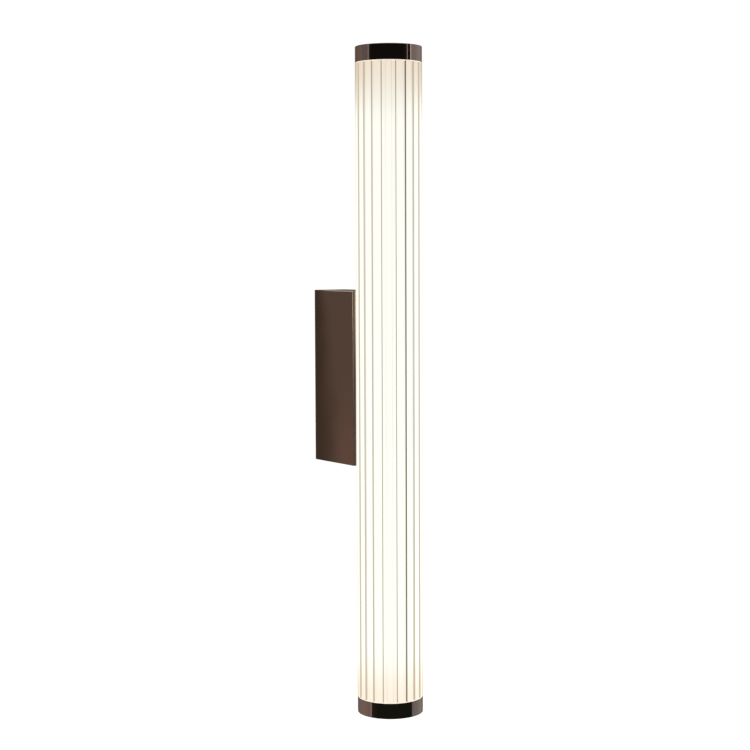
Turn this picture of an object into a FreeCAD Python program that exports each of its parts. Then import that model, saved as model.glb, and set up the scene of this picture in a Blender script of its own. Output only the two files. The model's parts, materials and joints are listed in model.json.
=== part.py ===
"""LED wall light: a ribbed opal tube with turned metal caps, held off the wall by a slim metal box.

Millimetres. The origin is the middle of the wall fixing, on the wall. +X is to the right when facing
the wall, +Y goes into the wall and +Z is up, so the whole light stands on the negative side of Y.
"""

import FreeCAD, Part
import math
import os

Vector = FreeCAD.Vector

# Overall sizes
box_width = 34.5
box_height = 160.0
box_depth = 63.5
tube_length = 600.0
tube_drop = 3.0
tube_gap = 2.0

# Fits and the overrun of every cut
press_clearance = 0.1
thread_clearance = 0.05
free_clearance = 0.3
cut_overrun = 1.0

# Screw sizes, each a shank radius, and the shapes of their heads
board_screw_radius = 1.25
small_screw_radius = 1.5
earth_screw_radius = 2.0
neck_screw_radius = 2.0
cap_stud_radius = 2.5
head_radius_share = 1.9
head_height_share = 1.2
socket_radius_share = 0.5
socket_depth_share = 0.55
socket_sides = 6

# Tube with its ribs, and the slot along its back
diffuser_radius = 30.1
diffuser_wall = 2.0
rib_height = 2.2
rib_count = 20
rib_width_share = 0.56

# End caps, with the clear ring under each
cap_step = 0.2
cap_band_height = 14.7
cap_wall = 3.0
cap_top_thickness = 3.0
cap_edge_radius = 0.5
cap_boss_radius = 5.0
cap_gasket_thickness = 0.6
cap_gasket_width = 5.3
cap_gasket_inset = 0.3

# Studs that the caps turn on to
cap_stud_head_radius = 4.0
cap_stud_head_height = 1.5
cap_stud_room = 0.5

# Rear spine: an extrusion with a hollow, two screw channels and a strip that fills the tube's slot
strip_width = 12.0
strip_inset = 0.4
spine_width = 20.0
spine_front_offset = 6.0
spine_wall = 2.0
spine_back_wall = 4.7
screw_channel_radius = 2.6
screw_channel_inset = 2.4
screw_channel_overlap = 0.4
end_plate_thickness = 2.0
end_plate_screw_length = 10.0

# Neck between box and tube
pad_overhang = 8.0
neck_screw_bite = 5.0
neck_washer_radius = 4.6
neck_washer_thickness = 0.8
lead_bush_radius = 3.4
lead_bush_bore_radius = 2.7
lead_bush_lip_width = 1.0
lead_bush_lip_thickness = 0.8

# Box shell
box_wall = 2.0
box_edge_radius = 0.8
wall_gasket_thickness = 2.0
box_screw_from_wall = 11.0
box_screw_length = 8.0
box_screw_head_radius = 2.9
box_screw_head_height = 1.5

# Wall bracket
bracket_thickness = 1.5
bracket_standoff = 3.0
bracket_clearance = 0.5
bracket_tab_width = 16.0
bracket_tab_length = 18.0
wall_slot_from_end = 17.5
wall_slot_length = 10.0
wall_slot_width = 5.0
clinch_nut_radius = 3.0
clinch_nut_height = 3.0

# Cable hole and its grommet
cable_hole_radius = 8.0
cable_hole_drop = 14.0
grommet_bore_radius = 5.0
grommet_lip_width = 2.0
grommet_lip_thickness = 1.5

# Terminal block, three poles side by side
pole_count = 3
pole_rib = 0.15
terminal_length = 18.0
terminal_height = 14.0
terminal_rise_share = 0.16
terminal_edge_radius = 0.6
sleeve_radius = 2.6
sleeve_bore_radius = 1.8
sleeve_end_inset = 1.0
terminal_well_radius = 2.0
terminal_screw_spacing = 9.0
terminal_screw_length = 5.0
terminal_screw_slot_width = 0.6
terminal_screw_slot_depth = 0.8
fixing_screw_overhang = 1.0

# Earth point on the bracket
earth_from_terminal = 16.0
earth_screw_overhang = 1.0
earth_washer_radius = 4.4
earth_washer_thickness = 0.8
earth_ring_radius = 4.2
earth_ring_thickness = 0.8
earth_barrel_radius = 1.7
earth_barrel_length = 5.0
earth_barrel_inset = 0.3

# Insulated leads
mains_lead_radius = 1.1
led_lead_radius = 0.8
link_lead_radius = 0.6
lead_bend_radius = 2.4
lead_tail = 3.0
mains_lead_bite = 5.0
mains_lead_loop = 14.0
led_lead_loop = 12.0
led_lead_from_ear = 2.0
neck_lead_spacing = 3.0

# LED driver on two bosses of the box
driver_side_room = 3.0
driver_end_room = 36.0
driver_back_room = 11.5
driver_wall = 1.2
driver_edge_radius = 1.0
driver_ear_length = 8.0
driver_ear_side = 6.0
driver_ear_thickness = 3.0
driver_boss_radius = 3.5
driver_boss_height = 6.0
driver_screw_bite = 4.0
driver_board_rise = 3.0
driver_board_thickness = 1.2
driver_board_margin = 0.5
component_clearance = 2.9
transformer_width_share = 0.6
transformer_length_share = 0.2
transformer_core_share = 0.5
winding_radius_share = 0.4
capacitor_radius = 4.0
capacitor_place_shares = (-0.38, -0.22, 0.3)

# LED boards
board_width = 14.0
board_thickness = 1.6
board_gap = 16.0
board_end_margin = 6.0
board_screw_length = 4.0
board_screw_place_shares = (0.08, 0.5, 0.92)
board_head_height_share = 1.0
chip_width = 2.8
chip_length = 3.5
chip_height = 0.7
chip_pitch = 10.0
connector_width = 10.0
connector_length = 6.0
connector_height = 4.0
connector_edge = 0.4
link_lead_spacing = 7.6

# Places across the light, worked out from the sizes above
box_front_y = -box_depth
box_back_y = -wall_gasket_thickness
box_inner_front_y = box_front_y + box_wall
box_inner_half_width = box_width / 2 - box_wall
box_inner_half_height = box_height / 2 - box_wall
tube_axis_y = box_front_y - tube_gap - diffuser_radius
cap_radius = diffuser_radius - cap_step
recess_radius = diffuser_radius - rib_height
diffuser_inner_radius = recess_radius - diffuser_wall
spine_radius = diffuser_inner_radius - free_clearance
strip_back_y = tube_axis_y + diffuser_radius - strip_inset
spine_front_y = tube_axis_y + spine_front_offset
hollow_front_y = spine_front_y + spine_wall
hollow_back_y = tube_axis_y + spine_radius - spine_back_wall
hollow_width = spine_width - 2 * spine_wall
screw_channel_spacing = hollow_width - 2 * (screw_channel_radius - screw_channel_overlap)
board_front_y = spine_front_y - board_thickness
connector_middle_y = board_front_y - connector_height / 2
pad_thickness = box_front_y - strip_back_y
board_screw_x = (board_width + chip_width) / 4

# Places along the tube
tube_middle_z = -tube_drop
diffuser_half_length = tube_length / 2 - cap_band_height
spine_half_length = diffuser_half_length - end_plate_thickness
board_length = spine_half_length - board_gap / 2 - board_end_margin
cap_stud_length = cap_band_height - cap_top_thickness

# Places inside the box
plate_back_y = -bracket_standoff
plate_front_y = plate_back_y - bracket_thickness
bracket_half_width = box_inner_half_width - bracket_clearance
bracket_half_height = box_inner_half_height - bracket_clearance
wall_slot_spacing = 2 * (bracket_half_height - wall_slot_from_end)
pole_pitch = 2 * (sleeve_radius + board_screw_radius + pole_rib)
mains_lead_spacing = (pole_count - 1) * pole_pitch
terminal_front_y = plate_front_y - terminal_height
terminal_middle_y = plate_front_y - terminal_height / 2
terminal_rise = terminal_rise_share * bracket_half_height
terminal_top_z = terminal_rise + terminal_length / 2
earth_rise = terminal_top_z + earth_from_terminal
driver_front_y = box_inner_front_y + driver_boss_height
driver_back_y = terminal_front_y - driver_back_room
driver_width = 2 * (box_inner_half_width - driver_side_room)
driver_length = 2 * (box_inner_half_height - driver_end_room)
driver_ear_width = driver_width - 2 * driver_ear_side
driver_board_y = driver_front_y + driver_wall + driver_board_rise
driver_board_back_y = driver_board_y + driver_board_thickness
component_height = driver_back_y - driver_wall - component_clearance - driver_board_back_y
driver_lead_y = (driver_back_y - driver_wall + driver_board_back_y) / 2
led_lead_spacing = driver_ear_width + 2 * led_lead_from_ear
neck_lead_y = box_inner_front_y + (driver_boss_height + lead_bush_lip_thickness) / 2
neck_screw_spacing = 2 * box_inner_half_height - driver_end_room + driver_ear_length


def block(x_low, x_high, y_low, y_high, z_low, z_high):
    """A plain box between two limits on each axis."""
    size = (x_high - x_low, y_high - y_low, z_high - z_low)
    return Part.makeBox(*size, Vector(x_low, y_low, z_low))


def centred_block(width, y_low, y_high, z_middle, height):
    """A plain box centred on the light's middle plane."""
    return block(-width / 2, width / 2, y_low, y_high, z_middle - height / 2, z_middle + height / 2)


def fillet_along(shape, radius, direction):
    """Rounds every straight edge that runs along a direction."""
    edges = [
        edge
        for edge in shape.Edges
        if edge.Curve.TypeId == "Part::GeomLine" and abs(edge.Curve.Direction.dot(direction)) > 0.999
    ]
    return shape.makeFillet(radius, edges)


def hexagon_prism(radius, length, base, direction):
    """A six-sided prism, used for the socket of a screw."""
    turns = [step * math.tau / socket_sides for step in range(socket_sides + 1)]
    corners = [Vector(radius * math.cos(turn), radius * math.sin(turn), 0) for turn in turns]
    prism = Part.Face(Part.makePolygon(corners)).extrude(Vector(0, 0, length))
    prism.Placement = FreeCAD.Placement(base, FreeCAD.Rotation(Vector(0, 0, 1), direction))
    return prism


def pan_screw(seat, direction, radius, length, height_share=head_height_share):
    """A screw with a round head on its seat, its shank pointing along the direction."""
    head_radius = radius * head_radius_share
    head_height = radius * height_share
    head_top = seat - direction * head_height
    head = Part.makeCylinder(head_radius, head_height, head_top, direction)
    shank = Part.makeCylinder(radius, length, seat, direction)
    socket_depth = head_height * socket_depth_share
    socket = hexagon_prism(head_radius * socket_radius_share, socket_depth, head_top, direction)
    return head.fuse(shank).removeSplitter().cut(socket)


def countersunk_screw(face, direction, radius, length, head_radius, head_height):
    """A screw with a cone head that lies flush with the face."""
    head = Part.makeCone(head_radius, radius, head_height, face, direction)
    shank = Part.makeCylinder(radius, length - head_height, face + direction * head_height, direction)
    socket_depth = head_height * socket_depth_share
    socket = hexagon_prism(head_radius * socket_radius_share, socket_depth, face, direction)
    return head.fuse(shank).removeSplitter().cut(socket)


def ring(outer_radius, inner_radius, thickness, base, direction):
    """A flat ring, such as a washer."""
    outer = Part.makeCylinder(outer_radius, thickness, base, direction)
    bore_base = base - direction * cut_overrun
    return outer.cut(Part.makeCylinder(inner_radius, thickness + 2 * cut_overrun, bore_base, direction))


def lead(points, radius):
    """A round insulated wire along straight runs joined by arcs."""
    edges = []
    start = points[0]
    for before, corner, after in zip(points, points[1:], points[2:]):
        way_in = (corner - before).normalize()
        way_out = (after - corner).normalize()
        half_turn = way_in.getAngle(way_out) / 2
        reach = lead_bend_radius * math.tan(half_turn)
        inward = (way_out - way_in).normalize()
        middle = corner + inward * (lead_bend_radius / math.cos(half_turn) - lead_bend_radius)
        arc_start = corner - way_in * reach
        arc_end = corner + way_out * reach
        edges.append(Part.LineSegment(start, arc_start).toShape())
        edges.append(Part.Arc(arc_start, middle, arc_end).toShape())
        start = arc_end
    edges.append(Part.LineSegment(start, points[-1]).toShape())
    first_way = (points[1] - points[0]).normalize()
    section = Part.Wire(Part.makeCircle(radius, points[0], first_way))
    return Part.Wire(edges).makePipeShell([section], True, False)


def tube_point(radius, angle, z):
    """A point round the tube's axis, its angle counted from the front in degrees."""
    turn = math.radians(angle)
    return Vector(radius * math.sin(turn), tube_axis_y - radius * math.cos(turn), z)


def rib_angles(half_rib):
    """The middle angle of each rib that stands clear of the slot."""
    pitch = 360 / rib_count
    steps = range(-rib_count // 2, rib_count // 2 + 1)
    return [step * pitch for step in steps if abs(step * pitch) + half_rib < slot_angle(recess_radius)]


def slot_angle(radius):
    """The angle at which the slot cuts a circle round the tube's axis, counted from the front."""
    slot_half_width = strip_width / 2 + press_clearance
    return 180 - math.degrees(math.asin(slot_half_width / radius))


def make_diffuser():
    """The ribbed tube, slotted along its back, as one outline pulled up."""
    z = tube_middle_z - diffuser_half_length
    outer_slot_angle = slot_angle(recess_radius)
    inner_slot_angle = slot_angle(diffuser_inner_radius)
    edges = []

    def add_arc(radius, angle_from, angle_to):
        angles = (angle_from, (angle_from + angle_to) / 2, angle_to)
        edges.append(Part.Arc(*[tube_point(radius, angle, z) for angle in angles]).toShape())

    def add_wall(radius_from, radius_to, angle_from, angle_to):
        ends = (tube_point(radius_from, angle_from, z), tube_point(radius_to, angle_to, z))
        edges.append(Part.LineSegment(*ends).toShape())

    place = -outer_slot_angle
    half_rib = 360 / rib_count * rib_width_share / 2
    for angle in rib_angles(half_rib):
        add_arc(recess_radius, place, angle - half_rib)
        add_wall(recess_radius, diffuser_radius, angle - half_rib, angle - half_rib)
        add_arc(diffuser_radius, angle - half_rib, angle + half_rib)
        add_wall(diffuser_radius, recess_radius, angle + half_rib, angle + half_rib)
        place = angle + half_rib
    add_arc(recess_radius, place, outer_slot_angle)
    add_wall(recess_radius, diffuser_inner_radius, outer_slot_angle, inner_slot_angle)
    add_arc(diffuser_inner_radius, inner_slot_angle, 0)
    add_arc(diffuser_inner_radius, 0, -inner_slot_angle)
    add_wall(diffuser_inner_radius, recess_radius, -inner_slot_angle, -outer_slot_angle)
    return Part.Face(Part.Wire(edges)).extrude(Vector(0, 0, 2 * diffuser_half_length))


def channel_places():
    """The middle of each screw channel of the spine, as x and y."""
    channel_y = hollow_back_y - screw_channel_inset
    return [(side * screw_channel_spacing / 2, channel_y) for side in (-1, 1)]


def make_spine():
    """The extruded spine: a hollow body inside the tube, and a strip that fills the tube's slot."""
    z_low = tube_middle_z - spine_half_length
    length = 2 * spine_half_length
    up = Vector(0, 0, 1)
    body = centred_block(spine_width, spine_front_y, tube_axis_y + diffuser_radius, tube_middle_z, length)
    body = body.common(Part.makeCylinder(spine_radius, length, Vector(0, tube_axis_y, z_low), up))
    strip = centred_block(strip_width, hollow_back_y, strip_back_y, tube_middle_z, length)
    hollow_length = length + 2 * cut_overrun
    hollow = centred_block(hollow_width, hollow_front_y, hollow_back_y, tube_middle_z, hollow_length)
    spine = body.fuse(strip).cut(hollow)
    for x, y in channel_places():
        spine = spine.fuse(Part.makeCylinder(screw_channel_radius, length, Vector(x, y, z_low), up))
    spine = spine.removeSplitter()
    bore_radius = small_screw_radius + thread_clearance
    for x, y in channel_places():
        bore_base = Vector(x, y, z_low - cut_overrun)
        spine = spine.cut(Part.makeCylinder(bore_radius, hollow_length, bore_base, up))
    back = Vector(0, 1, 0)
    thread_radius = neck_screw_radius + thread_clearance
    thread_length = strip_back_y - hollow_back_y + 2 * cut_overrun
    for z in neck_screw_places():
        hole_base = Vector(0, hollow_back_y - cut_overrun, z)
        spine = spine.cut(Part.makeCylinder(thread_radius, thread_length, hole_base, back))
    lead_hole_base = Vector(0, spine_front_y - cut_overrun, tube_middle_z)
    lead_hole_length = strip_back_y - spine_front_y + 2 * cut_overrun
    spine = spine.cut(Part.makeCylinder(lead_bush_bore_radius, lead_hole_length, lead_hole_base, back))
    thread_radius = board_screw_radius + thread_clearance
    for z in board_screw_places():
        hole_base = Vector(board_screw_x, spine_front_y - cut_overrun, z)
        spine = spine.cut(Part.makeCylinder(thread_radius, spine_wall + 2 * cut_overrun, hole_base, back))
    return spine


def neck_screw_places():
    """The height of each screw between box and spine."""
    return [side * neck_screw_spacing / 2 for side in (-1, 1)]


def board_span(side):
    """The lowest and highest point of the board above (1) or below (-1) the tube's middle."""
    near = tube_middle_z + side * board_gap / 2
    far = near + side * board_length
    return min(near, far), max(near, far)


def board_screw_places():
    """The height of every screw of both boards."""
    places = []
    for side in (-1, 1):
        near = tube_middle_z + side * board_gap / 2
        places += [near + side * share * board_length for share in board_screw_place_shares]
    return places


def make_board(side):
    """One LED board: a long strip with its screw holes."""
    low, high = board_span(side)
    board = block(-board_width / 2, board_width / 2, board_front_y, spine_front_y, low, high)
    hole_radius = board_screw_radius + press_clearance
    for z in board_screw_places():
        if low < z < high:
            hole_base = Vector(board_screw_x, board_front_y - cut_overrun, z)
            hole_length = board_thickness + 2 * cut_overrun
            board = board.cut(Part.makeCylinder(hole_radius, hole_length, hole_base, Vector(0, 1, 0)))
    return board


def make_chips(side):
    """The row of LEDs on one board, clear of its connector."""
    start = board_gap / 2 + connector_length + chip_length
    room = board_gap / 2 + board_length - chip_length - start
    count = int(room / chip_pitch) + 1
    chips = []
    for step in range(count):
        z = tube_middle_z + side * (start + step * chip_pitch)
        chips.append(centred_block(chip_width, board_front_y - chip_height, board_front_y, z, chip_length))
    return Part.makeCompound(chips)


def make_board_screws():
    """The screws that hold both boards to the spine."""
    screws = []
    for z in board_screw_places():
        seat = Vector(board_screw_x, board_front_y, z)
        sizes = (board_screw_radius, board_screw_length, board_head_height_share)
        screws.append(pan_screw(seat, Vector(0, 1, 0), *sizes))
    return Part.makeCompound(screws)


def make_connectors():
    """The lead connector at the inner end of each board."""
    connectors = []
    for side in (-1, 1):
        z = tube_middle_z + side * (board_gap + connector_length) / 2
        front_y = board_front_y - connector_height
        body = centred_block(connector_width, front_y, board_front_y, z, connector_length)
        connectors.append(fillet_along(body, connector_edge, Vector(0, 0, 1)))
    return Part.makeCompound(connectors)


def make_link_leads():
    """Two short wires from one board's connector to the other's."""
    leads = []
    for side in (-1, 1):
        base = Vector(side * link_lead_spacing / 2, connector_middle_y, tube_middle_z - board_gap / 2)
        leads.append(Part.makeCylinder(link_lead_radius, board_gap, base, Vector(0, 0, 1)))
    return Part.makeCompound(leads)


def make_end_plate(side):
    """A disc with a tongue over the spine's strip, which closes one end of the tube."""
    outward = Vector(0, 0, side)
    inner_z = tube_middle_z + side * spine_half_length
    plate = Part.makeCylinder(spine_radius, end_plate_thickness, Vector(0, tube_axis_y, inner_z), outward)
    middle_z = inner_z + side * end_plate_thickness / 2
    plate = plate.fuse(centred_block(strip_width, tube_axis_y, strip_back_y, middle_z, end_plate_thickness))
    plate = plate.removeSplitter()
    hole_length = end_plate_thickness + 2 * cut_overrun
    holes = [(x, y, small_screw_radius + press_clearance) for x, y in channel_places()]
    holes.append((0, tube_axis_y, cap_stud_radius + thread_clearance))
    for x, y, radius in holes:
        hole_base = Vector(x, y, inner_z - side * cut_overrun)
        plate = plate.cut(Part.makeCylinder(radius, hole_length, hole_base, outward))
    return plate


def make_end_plate_screws():
    """Two screws at each end, into the spine's channels."""
    screws = []
    for side in (-1, 1):
        outer_z = tube_middle_z + side * diffuser_half_length
        for x, y in channel_places():
            inward = Vector(0, 0, -side)
            seat = Vector(x, y, outer_z)
            screws.append(pan_screw(seat, inward, small_screw_radius, end_plate_screw_length))
    return Part.makeCompound(screws)


def make_cap_stud(side):
    """A clinched stud in an end plate, with its flat head inside the tube."""
    inner_z = tube_middle_z + side * spine_half_length
    outward = Vector(0, 0, side)
    head_base = Vector(0, tube_axis_y, inner_z - side * cap_stud_head_height)
    head = Part.makeCylinder(cap_stud_head_radius, cap_stud_head_height, head_base, outward)
    shank_length = end_plate_thickness + cap_stud_length
    shank = Part.makeCylinder(cap_stud_radius, shank_length, Vector(0, tube_axis_y, inner_z), outward)
    return head.fuse(shank).removeSplitter()


def make_cap_gasket(side):
    """The clear ring between the tube's end and the cap's rim."""
    outer_radius = cap_radius - cap_gasket_inset
    inner_radius = outer_radius - cap_gasket_width
    base = Vector(0, tube_axis_y, tube_middle_z + side * diffuser_half_length)
    return ring(outer_radius, inner_radius, cap_gasket_thickness, base, Vector(0, 0, side))


def make_cap(side):
    """A turned cap with a blind threaded boss in its middle."""
    outward = Vector(0, 0, side)
    height = cap_band_height - cap_gasket_thickness
    plate_z = tube_middle_z + side * diffuser_half_length
    rim = Vector(0, tube_axis_y, plate_z + side * cap_gasket_thickness)
    outer = Part.makeCylinder(cap_radius, height, rim, outward)
    end_edges = [edge for edge in outer.Edges if edge.Curve.TypeId == "Part::GeomCircle"]
    outer_end_z = rim.z + side * height
    end_edges = [edge for edge in end_edges if abs(edge.Curve.Center.z - outer_end_z) < cap_edge_radius]
    outer = outer.makeFillet(cap_edge_radius, end_edges)
    hollow_depth = height - cap_top_thickness
    hollow_base = rim - outward * cut_overrun
    hollow = Part.makeCylinder(cap_radius - cap_wall, hollow_depth + cut_overrun, hollow_base, outward)
    boss_base = Vector(0, tube_axis_y, plate_z)
    boss_height = cap_gasket_thickness + hollow_depth
    boss = Part.makeCylinder(cap_boss_radius, boss_height, boss_base, outward)
    bore_depth = cap_stud_length + cap_stud_room
    bore_base = boss_base - outward * cut_overrun
    bore_radius = cap_stud_radius + thread_clearance
    bore = Part.makeCylinder(bore_radius, bore_depth + cut_overrun, bore_base, outward)
    return outer.cut(hollow).fuse(boss).removeSplitter().cut(bore)


def make_mounting_pad():
    """The spacer between box and spine, with holes for the screws and the lead bush."""
    pad_height = neck_screw_spacing + 2 * pad_overhang
    pad = centred_block(strip_width, strip_back_y, box_front_y, 0, pad_height)
    return cut_neck_holes(pad)


def cut_neck_holes(shape):
    """Cuts the neck's screw holes and lead hole through the box's front wall and the pad."""
    forward = Vector(0, -1, 0)
    length = box_wall + pad_thickness + 2 * cut_overrun
    holes = [(z, neck_screw_radius + press_clearance) for z in neck_screw_places()]
    holes.append((tube_middle_z, lead_bush_radius + press_clearance))
    for z, radius in holes:
        base = Vector(0, box_inner_front_y + cut_overrun, z)
        shape = shape.cut(Part.makeCylinder(radius, length, base, forward))
    return shape


def make_neck_screws():
    """The screws from inside the box into the spine."""
    length = neck_washer_thickness + box_wall + pad_thickness + neck_screw_bite
    seat_y = box_inner_front_y + neck_washer_thickness
    screws = []
    for z in neck_screw_places():
        screws.append(pan_screw(Vector(0, seat_y, z), Vector(0, -1, 0), neck_screw_radius, length))
    return Part.makeCompound(screws)


def make_neck_washers():
    """A washer under each neck screw's head."""
    hole_radius = neck_screw_radius + press_clearance
    washers = []
    for z in neck_screw_places():
        base = Vector(0, box_inner_front_y, z)
        sizes = (neck_washer_radius, hole_radius, neck_washer_thickness)
        washers.append(ring(*sizes, base, Vector(0, 1, 0)))
    return Part.makeCompound(washers)


def make_lead_bush():
    """The rubber bush round the leads, with its lip inside the box."""
    forward = Vector(0, -1, 0)
    lip_base = Vector(0, box_inner_front_y + lead_bush_lip_thickness, tube_middle_z)
    lip_radius = lead_bush_radius + lead_bush_lip_width
    lip = Part.makeCylinder(lip_radius, lead_bush_lip_thickness, lip_base, forward)
    body_base = Vector(0, box_inner_front_y, tube_middle_z)
    body_length = box_wall + pad_thickness
    body = Part.makeCylinder(lead_bush_radius, body_length, body_base, forward)
    bore_base = lip_base - forward * cut_overrun
    bore_length = lead_bush_lip_thickness + body_length + 2 * cut_overrun
    bore = Part.makeCylinder(lead_bush_bore_radius, bore_length, bore_base, forward)
    return lip.fuse(body).removeSplitter().cut(bore)


def driver_boss_places():
    """The height of each boss that carries the driver."""
    return [side * (driver_length + driver_ear_length) / 2 for side in (-1, 1)]


def make_back_box():
    """The box shell: five walls, open at the back, with the driver's bosses inside."""
    outer = centred_block(box_width, box_front_y, box_back_y, 0, box_height)
    outer = outer.makeFillet(box_edge_radius, box_edges_to_round(outer))
    inner_width = 2 * box_inner_half_width
    inner_height = 2 * box_inner_half_height
    inner = centred_block(inner_width, box_inner_front_y, box_back_y + cut_overrun, 0, inner_height)
    box = outer.cut(inner)
    back = Vector(0, 1, 0)
    for z in driver_boss_places():
        base = Vector(0, box_inner_front_y, z)
        box = box.fuse(Part.makeCylinder(driver_boss_radius, driver_boss_height, base, back))
    box = box.removeSplitter()
    pilot_radius = small_screw_radius + thread_clearance
    for z in driver_boss_places():
        base = Vector(0, driver_front_y + cut_overrun, z)
        depth = driver_screw_bite + 2 * cut_overrun
        box = box.cut(Part.makeCylinder(pilot_radius, depth, base, Vector(0, -1, 0)))
    box = cut_neck_holes(box)
    for side in (-1, 1):
        face = Vector(0, -box_screw_from_wall, side * box_height / 2)
        inward = Vector(0, 0, -side)
        cone_wall = box_screw_head_radius - small_screw_radius
        slope = box_screw_head_height / cone_wall
        grown = press_clearance * slope
        cone_base = face - inward * grown
        cone_top_radius = box_screw_head_radius + 2 * press_clearance
        cone_height = box_screw_head_height + grown
        hole_radius = small_screw_radius + press_clearance
        cone = Part.makeCone(cone_top_radius, hole_radius, cone_height, cone_base, inward)
        hole = Part.makeCylinder(hole_radius, box_wall + cut_overrun, face, inward)
        box = box.cut(cone).cut(hole)
    return box


def box_edges_to_round(shape):
    """Every edge of the box but those round its open back."""
    return [edge for edge in shape.Edges if edge.CenterOfMass.y < box_back_y - box_edge_radius]


def make_box_screws():
    """One flush screw through the top wall and one through the bottom wall."""
    screws = []
    for side in (-1, 1):
        face = Vector(0, -box_screw_from_wall, side * box_height / 2)
        sizes = (small_screw_radius, box_screw_length, box_screw_head_radius, box_screw_head_height)
        screws.append(countersunk_screw(face, Vector(0, 0, -side), *sizes))
    return Part.makeCompound(screws)


def make_wall_gasket():
    """The foam frame between the box's rim and the wall."""
    outer = centred_block(box_width, box_back_y, 0, 0, box_height)
    inner_width = 2 * box_inner_half_width
    inner_height = 2 * box_inner_half_height
    return outer.cut(centred_block(inner_width, box_back_y - cut_overrun, cut_overrun, 0, inner_height))


def make_wall_bracket():
    """The pressed plate: folded sides that stand on the wall, and a tab at the top and the bottom."""
    width = 2 * bracket_half_width
    height = 2 * bracket_half_height
    bracket = centred_block(width, plate_front_y, 0, 0, height)
    channel_width = width - 2 * bracket_thickness
    channel = centred_block(channel_width, plate_back_y, cut_overrun, 0, height + 2 * cut_overrun)
    bracket = bracket.cut(channel)
    for side in (-1, 1):
        tab_z = side * (bracket_half_height - bracket_thickness / 2)
        tab_front_y = plate_back_y - bracket_tab_length
        tab = centred_block(bracket_tab_width, tab_front_y, plate_back_y, tab_z, bracket_thickness)
        bracket = bracket.fuse(tab)
    bracket = bracket.removeSplitter()
    for side in (-1, 1):
        hole_base = Vector(0, -box_screw_from_wall, side * (bracket_half_height + cut_overrun))
        hole_length = bracket_thickness + 2 * cut_overrun
        hole_radius = small_screw_radius + press_clearance
        bracket = bracket.cut(Part.makeCylinder(hole_radius, hole_length, hole_base, Vector(0, 0, -side)))
        bracket = bracket.cut(wall_slot(side * wall_slot_spacing / 2))
    holes = [(0, -cable_hole_drop, cable_hole_radius)]
    holes.append((0, earth_rise, earth_screw_radius + thread_clearance))
    holes += [(x, terminal_rise, board_screw_radius + thread_clearance) for x in fixing_screw_places()]
    for x, z, radius in holes:
        hole_base = Vector(x, plate_front_y - cut_overrun, z)
        hole_length = bracket_thickness + 2 * cut_overrun
        bracket = bracket.cut(Part.makeCylinder(radius, hole_length, hole_base, Vector(0, 1, 0)))
    return bracket


def wall_slot(z_middle):
    """The cutter for one upright slotted hole of the wall fixing."""
    radius = wall_slot_width / 2
    straight = wall_slot_length - wall_slot_width
    y_low = plate_front_y - cut_overrun
    length = bracket_thickness + 2 * cut_overrun
    cutter = centred_block(wall_slot_width, y_low, y_low + length, z_middle, straight)
    for side in (-1, 1):
        base = Vector(0, y_low, z_middle + side * straight / 2)
        cutter = cutter.fuse(Part.makeCylinder(radius, length, base, Vector(0, 1, 0)))
    return cutter.removeSplitter()


def make_clinch_nuts():
    """A threaded nut on the inside of each tab."""
    bore_radius = small_screw_radius + thread_clearance
    nuts = []
    for side in (-1, 1):
        base = Vector(0, -box_screw_from_wall, side * (bracket_half_height - bracket_thickness))
        nuts.append(ring(clinch_nut_radius, bore_radius, clinch_nut_height, base, Vector(0, 0, -side)))
    return Part.makeCompound(nuts)


def make_grommet():
    """The rubber ring in the cable hole, with a lip on each side of the plate."""
    back = Vector(0, 1, 0)
    core_radius = cable_hole_radius - press_clearance
    lip_radius = cable_hole_radius + grommet_lip_width
    lip_base = Vector(0, plate_front_y - grommet_lip_thickness, -cable_hole_drop)
    core_base = Vector(0, plate_front_y, -cable_hole_drop)
    back_lip_base = Vector(0, plate_back_y, -cable_hole_drop)
    core = Part.makeCylinder(core_radius, bracket_thickness, core_base, back)
    front_lip = Part.makeCylinder(lip_radius, grommet_lip_thickness, lip_base, back)
    back_lip = Part.makeCylinder(lip_radius, grommet_lip_thickness, back_lip_base, back)
    body = core.fuse(front_lip).fuse(back_lip).removeSplitter()
    bore_length = bracket_thickness + 2 * grommet_lip_thickness + 2 * cut_overrun
    return body.cut(Part.makeCylinder(grommet_bore_radius, bore_length, lip_base - back * cut_overrun, back))


def pole_places():
    """The middle of each pole of the terminal block across the light."""
    return [(step - (pole_count - 1) / 2) * pole_pitch for step in range(pole_count)]


def fixing_screw_places():
    """The block's own screws stand between its poles."""
    return [left + pole_pitch / 2 for left in pole_places()[:-1]]


def make_terminal_block():
    """The insulating block, with a channel and two screw wells for each pole."""
    width = pole_count * pole_pitch
    body = centred_block(width, terminal_front_y, plate_front_y, terminal_rise, terminal_length)
    body = fillet_along(body, terminal_edge_radius, Vector(0, 0, 1))
    z_low = terminal_rise - terminal_length / 2 - cut_overrun
    channel_length = terminal_length + 2 * cut_overrun
    well_depth = terminal_height / 2 + cut_overrun
    for x in pole_places():
        channel_base = Vector(x, terminal_middle_y, z_low)
        channel_radius = sleeve_radius + press_clearance
        body = body.cut(Part.makeCylinder(channel_radius, channel_length, channel_base, Vector(0, 0, 1)))
        for side in (-1, 1):
            z = terminal_rise + side * terminal_screw_spacing / 2
            well_base = Vector(x, terminal_front_y - cut_overrun, z)
            body = body.cut(Part.makeCylinder(terminal_well_radius, well_depth, well_base, Vector(0, 1, 0)))
    hole_radius = board_screw_radius + press_clearance
    for x in fixing_screw_places():
        hole_base = Vector(x, terminal_front_y - cut_overrun, terminal_rise)
        hole_length = terminal_height + 2 * cut_overrun
        body = body.cut(Part.makeCylinder(hole_radius, hole_length, hole_base, Vector(0, 1, 0)))
    return body


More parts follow.
